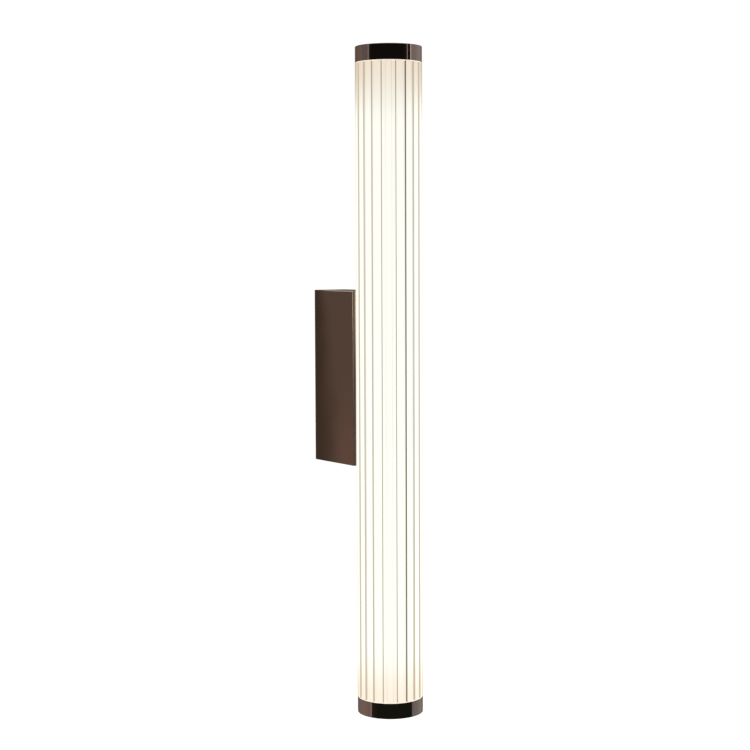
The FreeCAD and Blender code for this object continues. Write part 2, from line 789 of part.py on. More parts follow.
def make_terminal_sleeves():
    """The brass sleeve of each pole, with its screw holes."""
    length = terminal_length - 2 * sleeve_end_inset
    z_low = terminal_rise - length / 2
    sleeves = []
    for x in pole_places():
        base = Vector(x, terminal_middle_y, z_low)
        sleeve = ring(sleeve_radius, sleeve_bore_radius, length, base, Vector(0, 0, 1))
        for side in (-1, 1):
            z = terminal_rise + side * terminal_screw_spacing / 2
            hole_radius = small_screw_radius + thread_clearance
            hole_base = Vector(x, terminal_middle_y, z)
            hole = Part.makeCylinder(hole_radius, sleeve_radius + cut_overrun, hole_base, Vector(0, -1, 0))
            sleeve = sleeve.cut(hole)
        sleeves.append(sleeve)
    return Part.makeCompound(sleeves)


def make_terminal_screws():
    """The slotted clamping screws of all poles."""
    tip_y = terminal_middle_y - mains_lead_radius - press_clearance
    screws = []
    for x in pole_places():
        for side in (-1, 1):
            tip = Vector(x, tip_y, terminal_rise + side * terminal_screw_spacing / 2)
            screw = Part.makeCylinder(small_screw_radius, terminal_screw_length, tip, Vector(0, -1, 0))
            slot_y = tip_y - terminal_screw_length
            slot_half = terminal_screw_slot_width / 2
            slot_reach = small_screw_radius + cut_overrun
            slot_depth_y = slot_y + terminal_screw_slot_depth
            limits = (x - slot_reach, x + slot_reach, slot_y - cut_overrun, slot_depth_y)
            screws.append(screw.cut(block(*limits, tip.z - slot_half, tip.z + slot_half)))
    return Part.makeCompound(screws)


def make_fixing_screws():
    """The long screws that hold the block to the plate."""
    length = terminal_height + bracket_thickness + fixing_screw_overhang
    screws = []
    for x in fixing_screw_places():
        seat = Vector(x, terminal_front_y, terminal_rise)
        screws.append(pan_screw(seat, Vector(0, 1, 0), board_screw_radius, length))
    return Part.makeCompound(screws)


def make_earth_washer():
    """The washer under the earth ring."""
    base = Vector(0, plate_front_y, earth_rise)
    hole_radius = earth_screw_radius + press_clearance
    return ring(earth_washer_radius, hole_radius, earth_washer_thickness, base, Vector(0, -1, 0))


def earth_ring_back_y():
    """The face of the earth washer, where the ring lies."""
    return plate_front_y - earth_washer_thickness


def earth_barrel_y():
    """The middle of the ring's barrel, which stands on the ring's own plane."""
    return earth_ring_back_y() - earth_barrel_radius


def make_earth_ring():
    """The crimped ring at the end of the earth lead."""
    forward = Vector(0, -1, 0)
    base = Vector(0, earth_ring_back_y(), earth_rise)
    flat = Part.makeCylinder(earth_ring_radius, earth_ring_thickness, base, forward)
    barrel_top_z = earth_rise - earth_ring_radius + earth_barrel_inset
    barrel_base = Vector(0, earth_barrel_y(), barrel_top_z - earth_barrel_length)
    barrel_length = earth_barrel_length
    barrel = Part.makeCylinder(earth_barrel_radius, barrel_length, barrel_base, Vector(0, 0, 1))
    body = flat.fuse(barrel).removeSplitter()
    hole_radius = earth_screw_radius + press_clearance
    hole_base = base - forward * cut_overrun
    hole_length = earth_ring_thickness + 2 * cut_overrun
    body = body.cut(Part.makeCylinder(hole_radius, hole_length, hole_base, forward))
    bore_base = barrel_base - Vector(0, 0, cut_overrun)
    bore_length = barrel_length + cut_overrun - earth_ring_thickness
    return body.cut(Part.makeCylinder(mains_lead_radius, bore_length, bore_base, Vector(0, 0, 1)))


def make_earth_screw():
    """The screw of the earth point."""
    seat_y = earth_ring_back_y() - earth_ring_thickness
    length = plate_back_y - seat_y + earth_screw_overhang
    return pan_screw(Vector(0, seat_y, earth_rise), Vector(0, 1, 0), earth_screw_radius, length)


def make_earth_lead():
    """The earth wire from the block's middle pole to the ring."""
    barrel_low_z = earth_rise - earth_ring_radius + earth_barrel_inset - earth_barrel_length
    barrel_bore_top_z = barrel_low_z + earth_barrel_length - earth_ring_thickness
    run_start_z = terminal_top_z + lead_tail / 2
    points = [
        Vector(0, terminal_middle_y, terminal_top_z - mains_lead_bite),
        Vector(0, terminal_middle_y, run_start_z),
        Vector(0, earth_barrel_y(), barrel_low_z - lead_tail / 2),
        Vector(0, earth_barrel_y(), barrel_bore_top_z),
    ]
    return lead(points, mains_lead_radius)


def make_driver_case():
    """The driver's case, open at the back, with a screw ear at each end."""
    outer = centred_block(driver_width, driver_front_y, driver_back_y - driver_wall, 0, driver_length)
    outer = fillet_along(outer, driver_edge_radius, Vector(0, 1, 0))
    inner_width = driver_width - 2 * driver_wall
    inner_length = driver_length - 2 * driver_wall
    inner_front_y = driver_front_y + driver_wall
    case = outer.cut(centred_block(inner_width, inner_front_y, driver_back_y, 0, inner_length))
    for z in driver_boss_places():
        ear_back_y = driver_front_y + driver_ear_thickness
        case = case.fuse(centred_block(driver_ear_width, driver_front_y, ear_back_y, z, driver_ear_length))
    case = case.removeSplitter()
    hole_radius = small_screw_radius + press_clearance
    for z in driver_boss_places():
        hole_base = Vector(0, driver_front_y - cut_overrun, z)
        hole_length = driver_ear_thickness + 2 * cut_overrun
        case = case.cut(Part.makeCylinder(hole_radius, hole_length, hole_base, Vector(0, 1, 0)))
    lead_holes = [(1, mains_lead_spacing, mains_lead_radius), (-1, led_lead_spacing, led_lead_radius)]
    for end, spacing, radius in lead_holes:
        hole_z = end * (driver_length / 2 - driver_wall - cut_overrun)
        for side in (-1, 1):
            hole_base = Vector(side * spacing / 2, driver_lead_y, hole_z)
            hole_length = driver_wall + 2 * cut_overrun
            hole = Part.makeCylinder(radius + press_clearance, hole_length, hole_base, Vector(0, 0, end))
            case = case.cut(hole)
    return case


def make_driver_cover():
    """The flat cover over the driver's open back."""
    cover = centred_block(driver_width, driver_back_y - driver_wall, driver_back_y, 0, driver_length)
    return fillet_along(cover, driver_edge_radius, Vector(0, 1, 0))


def make_driver_board():
    """The driver's circuit board, on ribs inside its case."""
    width = driver_width - 2 * driver_wall - 2 * driver_board_margin
    length = driver_length - 2 * driver_wall - 2 * driver_board_margin
    front_y = driver_front_y + driver_wall
    board = centred_block(width, driver_board_y, driver_board_back_y, 0, length)
    for side in (-1, 1):
        foot_z = side * (length - driver_board_rise) / 2
        board = board.fuse(centred_block(width, front_y, driver_board_y, foot_z, driver_board_rise))
    return board.removeSplitter()


def make_transformer():
    """The transformer: a winding with an E-shaped core round it."""
    width = driver_width * transformer_width_share
    transformer_length = driver_length * transformer_length_share
    back_y = driver_board_back_y + component_height
    core_length = transformer_length * transformer_core_share
    core = centred_block(width, driver_board_back_y, back_y, 0, core_length)
    winding_radius = component_height * winding_radius_share
    base = Vector(0, (driver_board_back_y + back_y) / 2, -transformer_length / 2)
    winding = Part.makeCylinder(winding_radius, transformer_length, base, Vector(0, 0, 1))
    return core.fuse(winding).removeSplitter()


def make_capacitors():
    """The upright capacitors beside the transformer."""
    capacitors = []
    for share in capacitor_place_shares:
        base = Vector(0, driver_board_back_y, share * driver_length)
        capacitors.append(Part.makeCylinder(capacitor_radius, component_height, base, Vector(0, 1, 0)))
    return Part.makeCompound(capacitors)


def make_driver_screws():
    """The screws through the driver's ears into the bosses."""
    length = driver_ear_thickness + driver_screw_bite
    screws = []
    for z in driver_boss_places():
        seat = Vector(0, driver_front_y + driver_ear_thickness, z)
        screws.append(pan_screw(seat, Vector(0, -1, 0), small_screw_radius, length))
    return Part.makeCompound(screws)


def make_mains_lead(side):
    """A wire from an outer pole of the block up and over into the driver."""
    loop_z = driver_length / 2 + mains_lead_loop
    x = side * mains_lead_spacing / 2
    points = [
        Vector(x, driver_lead_y, driver_length / 2 - lead_tail),
        Vector(x, driver_lead_y, loop_z),
        Vector(x, terminal_middle_y, loop_z),
        Vector(x, terminal_middle_y, terminal_top_z - mains_lead_bite),
    ]
    return lead(points, mains_lead_radius)


def make_led_lead(side):
    """A wire from the driver, under it to the neck and through the spine to the upper board."""
    loop_z = -driver_length / 2 - led_lead_loop
    x = side * led_lead_spacing / 2
    neck_x = side * neck_lead_spacing / 2
    points = [
        Vector(x, driver_lead_y, -driver_length / 2 + lead_tail),
        Vector(x, driver_lead_y, loop_z),
        Vector(x, neck_lead_y, loop_z),
        Vector(x, neck_lead_y, tube_middle_z),
        Vector(neck_x, neck_lead_y, tube_middle_z),
        Vector(neck_x, connector_middle_y, tube_middle_z),
        Vector(neck_x, connector_middle_y, tube_middle_z + board_gap / 2),
    ]
    return lead(points, led_lead_radius)


def make_nodes():
    """Every piece of the light under its name."""
    return {
        "wall_bracket": make_wall_bracket(),
        "clinch_nuts": make_clinch_nuts(),
        "wall_gasket": make_wall_gasket(),
        "cable_grommet": make_grommet(),
        "terminal_block": make_terminal_block(),
        "terminal_sleeves": make_terminal_sleeves(),
        "terminal_screws": make_terminal_screws(),
        "terminal_fixing_screws": make_fixing_screws(),
        "earth_screw": make_earth_screw(),
        "earth_washer": make_earth_washer(),
        "earth_ring": make_earth_ring(),
        "earth_lead": make_earth_lead(),
        "back_box": make_back_box(),
        "box_fixing_screws": make_box_screws(),
        "driver_case": make_driver_case(),
        "driver_cover": make_driver_cover(),
        "driver_board": make_driver_board(),
        "driver_transformer": make_transformer(),
        "driver_capacitors": make_capacitors(),
        "driver_screws": make_driver_screws(),
        "live_lead": make_mains_lead(-1),
        "neutral_lead": make_mains_lead(1),
        "led_plus_lead": make_led_lead(-1),
        "led_minus_lead": make_led_lead(1),
        "lead_bush": make_lead_bush(),
        "mounting_pad": make_mounting_pad(),
        "neck_screws": make_neck_screws(),
        "neck_washers": make_neck_washers(),
        "rear_spine": make_spine(),
        "diffuser": make_diffuser(),
        "upper_led_board": make_board(1),
        "lower_led_board": make_board(-1),
        "upper_led_chips": make_chips(1),
        "lower_led_chips": make_chips(-1),
        "board_screws": make_board_screws(),
        "board_connectors": make_connectors(),
        "board_link_leads": make_link_leads(),
        "upper_end_plate": make_end_plate(1),
        "lower_end_plate": make_end_plate(-1),
        "end_plate_screws": make_end_plate_screws(),
        "upper_cap_stud": make_cap_stud(1),
        "lower_cap_stud": make_cap_stud(-1),
        "upper_cap_gasket": make_cap_gasket(1),
        "lower_cap_gasket": make_cap_gasket(-1),
        "top_cap": make_cap(1),
        "bottom_cap": make_cap(-1),
    }


os.makedirs("parts", exist_ok=True)
for name, shape in make_nodes().items():
    if not shape.isValid():
        raise ValueError("the shape of " + name + " is not valid")
    shape.exportStep(os.path.join("parts", name + ".step"))
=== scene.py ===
import json
import math

import bmesh
import bpy
from bpy.props import FloatProperty, FloatVectorProperty, IntProperty, PointerProperty
from mathutils import Matrix, Vector


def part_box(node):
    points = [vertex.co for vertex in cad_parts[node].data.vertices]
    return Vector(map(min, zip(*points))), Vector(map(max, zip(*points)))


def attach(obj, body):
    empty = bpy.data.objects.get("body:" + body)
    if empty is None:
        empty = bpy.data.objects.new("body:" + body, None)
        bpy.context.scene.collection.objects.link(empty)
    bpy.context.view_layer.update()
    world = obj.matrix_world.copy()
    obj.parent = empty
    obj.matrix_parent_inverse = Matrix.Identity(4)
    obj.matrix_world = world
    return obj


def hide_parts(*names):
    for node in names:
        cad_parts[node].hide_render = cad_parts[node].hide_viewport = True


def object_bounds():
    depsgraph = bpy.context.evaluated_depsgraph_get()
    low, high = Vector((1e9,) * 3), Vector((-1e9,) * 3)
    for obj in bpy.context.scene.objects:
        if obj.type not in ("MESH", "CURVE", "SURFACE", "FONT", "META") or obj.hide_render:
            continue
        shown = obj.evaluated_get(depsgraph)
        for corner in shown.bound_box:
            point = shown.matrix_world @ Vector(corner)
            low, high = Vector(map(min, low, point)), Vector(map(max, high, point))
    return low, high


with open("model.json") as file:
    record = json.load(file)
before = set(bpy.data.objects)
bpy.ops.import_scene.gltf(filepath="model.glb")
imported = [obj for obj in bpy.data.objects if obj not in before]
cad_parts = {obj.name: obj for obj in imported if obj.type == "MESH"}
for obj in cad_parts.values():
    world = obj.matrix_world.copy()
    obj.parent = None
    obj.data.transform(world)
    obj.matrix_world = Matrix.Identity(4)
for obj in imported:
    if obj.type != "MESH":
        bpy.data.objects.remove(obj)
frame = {"nodes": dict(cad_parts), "record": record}
cad_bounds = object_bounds()

bl_info = {
    "name": "Ribbed tube wall light",
    "version": (1, 0, 0),
    "blender": (4, 5, 0),
    "location": "View3D > Sidebar > Wall light",
    "description": "Models and finishes the wall light round its packed frame",
    "category": "Add Mesh",
}

MM = 0.001
BODY = "root"
FINISH_SUFFIX = "_finish"

# Distances for joining points and finding edges, and angles that tell an edge from a smooth bend
WELD = 0.001 * MM
NEAR = 0.01 * MM
SMOOTH_ANGLE = math.radians(35)
RIB_CORNER_ANGLE = math.radians(40)
SQUARE_EDGE_ANGLE = math.radians(80)

# Steps round each turned piece and along each stretch of the tube's outline
CAP_STEPS = 192
RING_STEPS = 128
GROMMET_STEPS = 96
SCREW_STEPS = 48
SOCKET_SIDES = 6
FLOOR_STEPS = 96
TUBE_INNER_STEPS = 120
RIB_STEPS = 6
HALF_RECESS_STEPS = 3

# The camera sees nothing nearer than this
CAMERA_NEAREST = 10 * MM

# Most of a noise's values lie between these two
NOISE_LOW = 0.3
NOISE_HIGH = 0.7

# How far the tube's warmer and dimmer ends reach
TOP_GLOW_REACH = 42 * MM
TOP_SKIN_REACH = 65 * MM
BOTTOM_REACH = 50 * MM

# Depth of a face's skin, the front rib's blend in radians, and shares of the painted shade at feet and
# flanks
FACE_SKIN_DEPTH = 0.1 * MM
FRONT_RIB_BLEND = 0.01
FOOT_CORE_SHARE = 0.6
FLANK_BODY_SHARE = 0.3

# Sockets of a Mix node that blends colours
FIRST_COLOUR = 6
SECOND_COLOUR = 7
BLENDED_COLOUR = 2

# Places that every piece shares, read from the frame
CAP_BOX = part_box("top_cap")
TUBE_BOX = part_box("diffuser")
STRIP_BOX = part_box("mounting_pad")
AXIS_Y = (CAP_BOX[0].y + CAP_BOX[1].y) / 2
CAP_RADIUS = (CAP_BOX[1].x - CAP_BOX[0].x) / 2
TUBE_RADIUS = AXIS_Y - TUBE_BOX[0].y
SLOT_COLOURS = {row["slot"]: row["base_color"] for row in frame["record"]["materials"]}
UP = Vector((0, 0, 1))


class TubeSettings(bpy.types.PropertyGroup):
    """Sizes and glow of the ribbed tube."""

    rib_count: IntProperty(name="Ribs", description="Ribs round a whole turn of the tube", default=20, min=3)
    rib_share: FloatProperty(
        name="Rib share", description="Share of each pitch that the rib takes",
        default=0.56, subtype="FACTOR",
    )
    rib_height: FloatProperty(
        name="Rib height", description="How far a rib stands out of the tube",
        default=2.2 * MM, unit="LENGTH",
    )
    wall: FloatProperty(
        name="Wall", description="Wall of the tube between two ribs", default=2 * MM, unit="LENGTH"
    )
    edge: FloatProperty(
        name="Rib edge", description="Rounding along each edge of a rib", default=0.15 * MM, unit="LENGTH"
    )
    slot_clearance: FloatProperty(
        name="Slot clearance", description="Gap on each side of the back strip",
        default=0.1 * MM, unit="LENGTH",
    )
    body: FloatVectorProperty(
        name="Body", description="Colour of the unlit acrylic", default=(0.28, 0.27, 0.245), subtype="COLOR"
    )
    glow: FloatVectorProperty(
        name="Glow", description="Light of the tube's middle", default=(0.89, 0.895, 0.83), subtype="COLOR"
    )
    top_glow: FloatVectorProperty(
        name="Top glow", description="Light at the tube's upper end",
        default=(0.955, 0.83, 0.72), subtype="COLOR",
    )
    bottom_glow: FloatVectorProperty(
        name="Bottom glow", description="Light at the lower end",
        default=(0.905, 0.785, 0.655), subtype="COLOR",
    )
    # Painted shade on the ribs' flanks: a dimmer, warmer light and a darker tint
    flank_glow: FloatVectorProperty(
        name="Flank glow", description="Light of a rib's flank under its skin, against a face",
        default=(1.0, 0.895, 0.765),
    )
    flank_shade_tint: FloatVectorProperty(
        name="Flank shade tint", description="Tint of a flank's skin", default=(0.62, 0.63, 0.63), subtype="COLOR"
    )
    face_skin: FloatVectorProperty(
        name="Face skin", description="Tint of the faces' skin",
        default=(0.985, 0.975, 0.962), subtype="COLOR",
    )
    top_skin: FloatVectorProperty(
        name="Top skin", description="The same tint at the upper end",
        default=(0.82, 0.81, 0.77), subtype="COLOR",
    )
    bottom_skin: FloatVectorProperty(
        name="Bottom skin", description="The same tint at the lower end",
        default=(0.92, 0.92, 0.90), subtype="COLOR",
    )
    foot_width: FloatProperty(
        name="Foot shade", description="Width of the shade along each rib's foot",
        default=0.34 * MM, unit="LENGTH",
    )
    foot_glow: FloatProperty(
        name="Foot glow", description="Share of the light left in that shade", default=0.1, subtype="FACTOR"
    )
    flank_fade: FloatProperty(
        name="Flank fade", description="How softly the dark of a flank starts and ends",
        default=0.8 * MM, unit="LENGTH",
    )
    # The front rib's flanks, darker still and with a sharper fade
    front_rib_fade: FloatProperty(
        name="Front rib fade", description="The same on the front rib", default=0.4 * MM, unit="LENGTH"
    )
    front_rib_share: FloatProperty(
        name="Front rib share", description="Share of the flanks' light on the front rib",
        default=0.2, subtype="FACTOR",
    )


class CapSettings(bpy.types.PropertyGroup):
    """Sizes of the turned caps and the clear rings under them."""

    wall: FloatProperty(name="Wall", description="Wall of the cap's band", default=3 * MM, unit="LENGTH")
    top: FloatProperty(name="Top", description="Thickness of the cap's end", default=3 * MM, unit="LENGTH")
    edge: FloatProperty(
        name="Edge", description="Rounding of the outer edge", default=0.5 * MM, unit="LENGTH"
    )
    rim_edge: FloatProperty(
        name="Rim edge", description="Small bevel round the rim", default=0.15 * MM, unit="LENGTH"
    )
    boss_radius: FloatProperty(
        name="Boss radius", description="Radius of the threaded boss", default=5 * MM, unit="LENGTH"
    )
    bore_radius: FloatProperty(
        name="Bore radius", description="Radius of the boss's bore", default=2.55 * MM, unit="LENGTH"
    )
    bore_room: FloatProperty(
        name="Bore room", description="Bore left past the end of the stud", default=0.5 * MM, unit="LENGTH"
    )
    ring_width: FloatProperty(
        name="Ring width", description="Width of the clear rings", default=5.3 * MM, unit="LENGTH"
    )
    ring_body: FloatVectorProperty(
        name="Ring body", description="Colour of the unlit rings",
        default=(0.25, 0.24, 0.22), subtype="COLOR",
    )
    ring_glow: FloatVectorProperty(
        name="Ring glow", description="Light in the clear rings", default=(0.88, 0.80, 0.68), subtype="COLOR"
    )


class FittingSettings(bpy.types.PropertyGroup):
    """Sizes of the foam frame, the cable grommet and the flush screws."""

    foam_wall: FloatProperty(
        name="Foam wall", description="Width of the foam frame's bars", default=2 * MM, unit="LENGTH"
    )
    foam_corner: FloatProperty(
        name="Foam corner", description="Rounding of the frame's corners", default=0.8 * MM, unit="LENGTH"
    )
    foam_edge: FloatProperty(
        name="Foam edge", description="Soft edge of the squeezed foam", default=0.3 * MM, unit="LENGTH"
    )
    bore_radius: FloatProperty(
        name="Grommet bore", description="Radius of the grommet's bore", default=5 * MM, unit="LENGTH"
    )
    groove_radius: FloatProperty(
        name="Grommet groove", description="Radius in the plate's hole", default=7.9 * MM, unit="LENGTH"
    )
    lip: FloatProperty(
        name="Grommet lip", description="Thickness of each lip", default=1.5 * MM, unit="LENGTH"
    )
    lip_edge: FloatProperty(
        name="Lip edge", description="Rounding of each lip", default=0.5 * MM, unit="LENGTH"
    )
    head: FloatProperty(
        name="Screw head", description="Height of the flush screw's head", default=1.5 * MM, unit="LENGTH"
    )
    head_land: FloatProperty(
        name="Head land", description="Straight part round the head", default=0.1 * MM, unit="LENGTH"
    )
    shank_radius: FloatProperty(
        name="Screw shank", description="Radius of the screw's shank", default=1.5 * MM, unit="LENGTH"
    )
    screw_length: FloatProperty(
        name="Screw length", description="Length of the flush screw", default=8 * MM, unit="LENGTH"
    )
    socket_share: FloatProperty(
        name="Socket share", description="Share of the head that the socket takes",
        default=0.5, subtype="FACTOR",
    )
    socket_depth: FloatProperty(
        name="Socket depth", description="Depth of the six-sided socket", default=0.8 * MM, unit="LENGTH"
    )


class MetalSettings(bpy.types.PropertyGroup):
    """Colours of the bronze finishes."""

    cap_colour: FloatVectorProperty(
        name="Caps", description="Polished bronze of the caps",
        default=(0.115, 0.088, 0.075), subtype="COLOR",
    )
    box_colour: FloatVectorProperty(
        name="Box", description="Satin bronze of the box", default=(0.085, 0.0625, 0.0515), subtype="COLOR"
    )
    # Painted shade: the box darker beside the wall
    wall_shade_colour: FloatVectorProperty(
        name="Box by the wall", description="The same finish beside the wall", default=(0.044, 0.033, 0.027),
        subtype="COLOR"
    )
    # Painted light: the box redder and lighter low on the front
    low_front_light_colour: FloatVectorProperty(
        name="Box below", description="The same finish low on the front",
        default=(0.105, 0.068, 0.056), subtype="COLOR",
    )
    # Painted light from the lit tube on the box's front face
    tube_light_colour: FloatVectorProperty(
        name="Box front", description="The front face, rubbed brighter behind the tube",
        default=(0.42, 0.31, 0.20), subtype="COLOR",
    )
    # Painted light: the box's top face lighter
    top_light_colour: FloatVectorProperty(
        name="Box top", description="The top face", default=(0.26, 0.21, 0.19), subtype="COLOR"
    )
    # Painted highlight along the box's edges
    edge_highlight_colour: FloatVectorProperty(
        name="Box edge", description="Rubbed edges of the box", default=(0.62, 0.54, 0.46), subtype="COLOR"
    )
    # Width of the painted highlight along an edge
    edge_width: FloatProperty(
        name="Edge width", description="Width of the rubbing along an edge", default=0.8 * MM, unit="LENGTH"
    )
    # Roughness added under the painted edge highlight
    highlight_roughness: FloatProperty(name="Edge highlight roughness", description="Roughness that the rubbing adds", default=0.3)


class StageSettings(bpy.types.PropertyGroup):
    """Floor, room and camera."""

    floor_drop: FloatProperty(
        name="Floor drop", description="Floor below the light's lower end", default=0.15, unit="LENGTH"
    )
    floor_radius: FloatProperty(
        name="Floor radius", description="Radius of the floor", default=1.1, unit="LENGTH"
    )
    backdrop: FloatProperty(name="Backdrop", description="Brightness of what the camera sees", default=1.05)
    overhead: FloatProperty(name="Overhead", description="Brightness of the soft light above", default=1.7)
    curtain: FloatProperty(
        name="Curtain", description="Brightness of the dark side by the camera", default=0.04
    )
    camera_place: FloatVectorProperty(
        name="Camera", description="Where the camera stands",
        default=(-0.8808, -1.3128, 0.118), subtype="XYZ",
    )
    camera_turn: FloatProperty(
        name="Turn", description="Camera's turn from straight at the wall", default=math.radians(35.396),
        subtype="ANGLE"
    )
    camera_pitch: FloatProperty(
        name="Pitch", description="Camera's tilt down", default=math.radians(4.312), subtype="ANGLE"
    )
    camera_roll: FloatProperty(
        name="Roll", description="Camera's roll", default=math.radians(-0.216), subtype="ANGLE"
    )
    lens: FloatProperty(name="Lens", description="Focal length in millimetres", default=80.237)


# Materials

class Nodes:
    """Short calls for making the nodes of one tree."""

    def __init__(self, tree):
        self.tree = tree

    def add(self, kind, inputs, **settings):
        """A new node, each input given a value or linked to another node's output."""
        node = self.tree.nodes.new(kind)
        for setting, value in settings.items():
            setattr(node, setting, value)
        for socket, value in inputs.items():
            if isinstance(value, bpy.types.NodeSocket):
                self.tree.links.new(value, node.inputs[socket])
            else:
                node.inputs[socket].default_value = value
        return node

    def math(self, operation, first, second=0.0):
        """One sum of two numbers."""
        return self.add("ShaderNodeMath", {0: first, 1: second}, operation=operation).outputs["Value"]

    def spread(self, value, low, high, to_low=0.0, to_high=1.0, smooth=False):
        """A value taken from one range to another."""
        inputs = {"Value": value, "From Min": low, "From Max": high, "To Min": to_low, "To Max": to_high}
        kind = "SMOOTHSTEP" if smooth else "LINEAR"
        return self.add("ShaderNodeMapRange", inputs, interpolation_type=kind).outputs["Result"]

    def mix(self, share, first, second):
        """A blend of two colours."""
        inputs = {"Factor": share, FIRST_COLOUR: first, SECOND_COLOUR: second}
        return self.add("ShaderNodeMix", inputs, data_type="RGBA").outputs[BLENDED_COLOUR]


class Finish(Nodes):
    """One material: a shader, and short calls for the patterns that feed it."""

    def __init__(self, name, constants):
        self.material = bpy.data.materials.new(name + FINISH_SUFFIX)
        self.material.use_nodes = True
        super().__init__(self.material.node_tree)
        self.shader = self.tree.nodes["Principled BSDF"]
        for socket, value in constants.items():
            self.shader.inputs[socket].default_value = value

    def place(self, scale=(1, 1, 1), offset=(0, 0, 0)):
        """The object's own coordinates, moved and stretched."""
        coordinates = self.add("ShaderNodeTexCoord", {}).outputs["Object"]
        mapping = self.add("ShaderNodeMapping", {"Vector": coordinates, "Location": offset, "Scale": scale})
        return mapping.outputs["Vector"]

    def axes(self, offset=(0, 0, 0)):
        """The same coordinates as three numbers."""
        separate = self.add("ShaderNodeSeparateXYZ", {"Vector": self.place(offset=offset)})
        return [separate.outputs[axis] for axis in "XYZ"]

    def noise(self, scale, detail=3.0, stretch=(1, 1, 1)):
        """Soft noise, with scale in waves for each metre."""
        inputs = {"Vector": self.place(stretch), "Scale": scale, "Detail": detail}
        return self.add("ShaderNodeTexNoise", inputs).outputs["Fac"]

    def drift(self, noise, low, high):
        """A noise taken to a range."""
        return self.spread(noise, NOISE_LOW, NOISE_HIGH, low, high)

    def tone(self, share, colour, contrast):
        """A colour that drifts lighter and darker with a pattern."""
        darker = [part * (1 - contrast) for part in colour] + [1]
        lighter = [min(part * (1 + contrast), 1) for part in colour] + [1]
        return self.mix(share, darker, lighter)

    def scaled(self, colour, level):
        """A colour made brighter or darker."""
        inputs = {0: colour, "Scale": level}
        return self.add("ShaderNodeVectorMath", inputs, operation="SCALE").outputs["Vector"]

    def bump(self, height, distance, strength):
        """Relief from a height pattern, with its depth as a length."""
        inputs = {"Height": height, "Distance": distance, "Strength": strength}
        self.feed("Normal", self.add("ShaderNodeBump", inputs).outputs["Normal"])

    def feed(self, socket, output):
        """Links a pattern to the shader."""
        self.tree.links.new(output, self.shader.inputs[socket])

    def tube_radius(self):
        """The distance from the tube's axis."""
        across = self.place(scale=(1, 1, 0), offset=(0, -AXIS_Y, 0))
        return self.add("ShaderNodeVectorMath", {0: across}, operation="LENGTH").outputs["Value"]


def finish_of(slot):
    """The finished material of one of the record's slots."""
    return bpy.data.materials[slot + FINISH_SUFFIX]


def polished_bronze(colour):
    """Turned and polished metal under a dark bronze plating, with faint turning marks."""
    constants = {
        "Metallic": 1.0, "Specular Tint": (0.45, 0.40, 0.38, 1),
        "Coat Weight": 0.15, "Coat Roughness": 0.05,
    }
    finish = Finish("polished_bronze", constants)
    finish.feed("Base Color", finish.tone(finish.noise(45), colour, 0.06))
    finish.feed("Roughness", finish.drift(finish.noise(350), 0.05, 0.09))
    height = finish.axes()[2]
    along = finish.math("ADD", finish.tube_radius(), height)
    inputs = {"W": along, "Scale": 3500, "Detail": 2.0}
    marks = finish.add("ShaderNodeTexNoise", inputs, noise_dimensions="1D")
    finish.bump(marks.outputs["Fac"], 0.002 * MM, 0.35)
    return finish.material


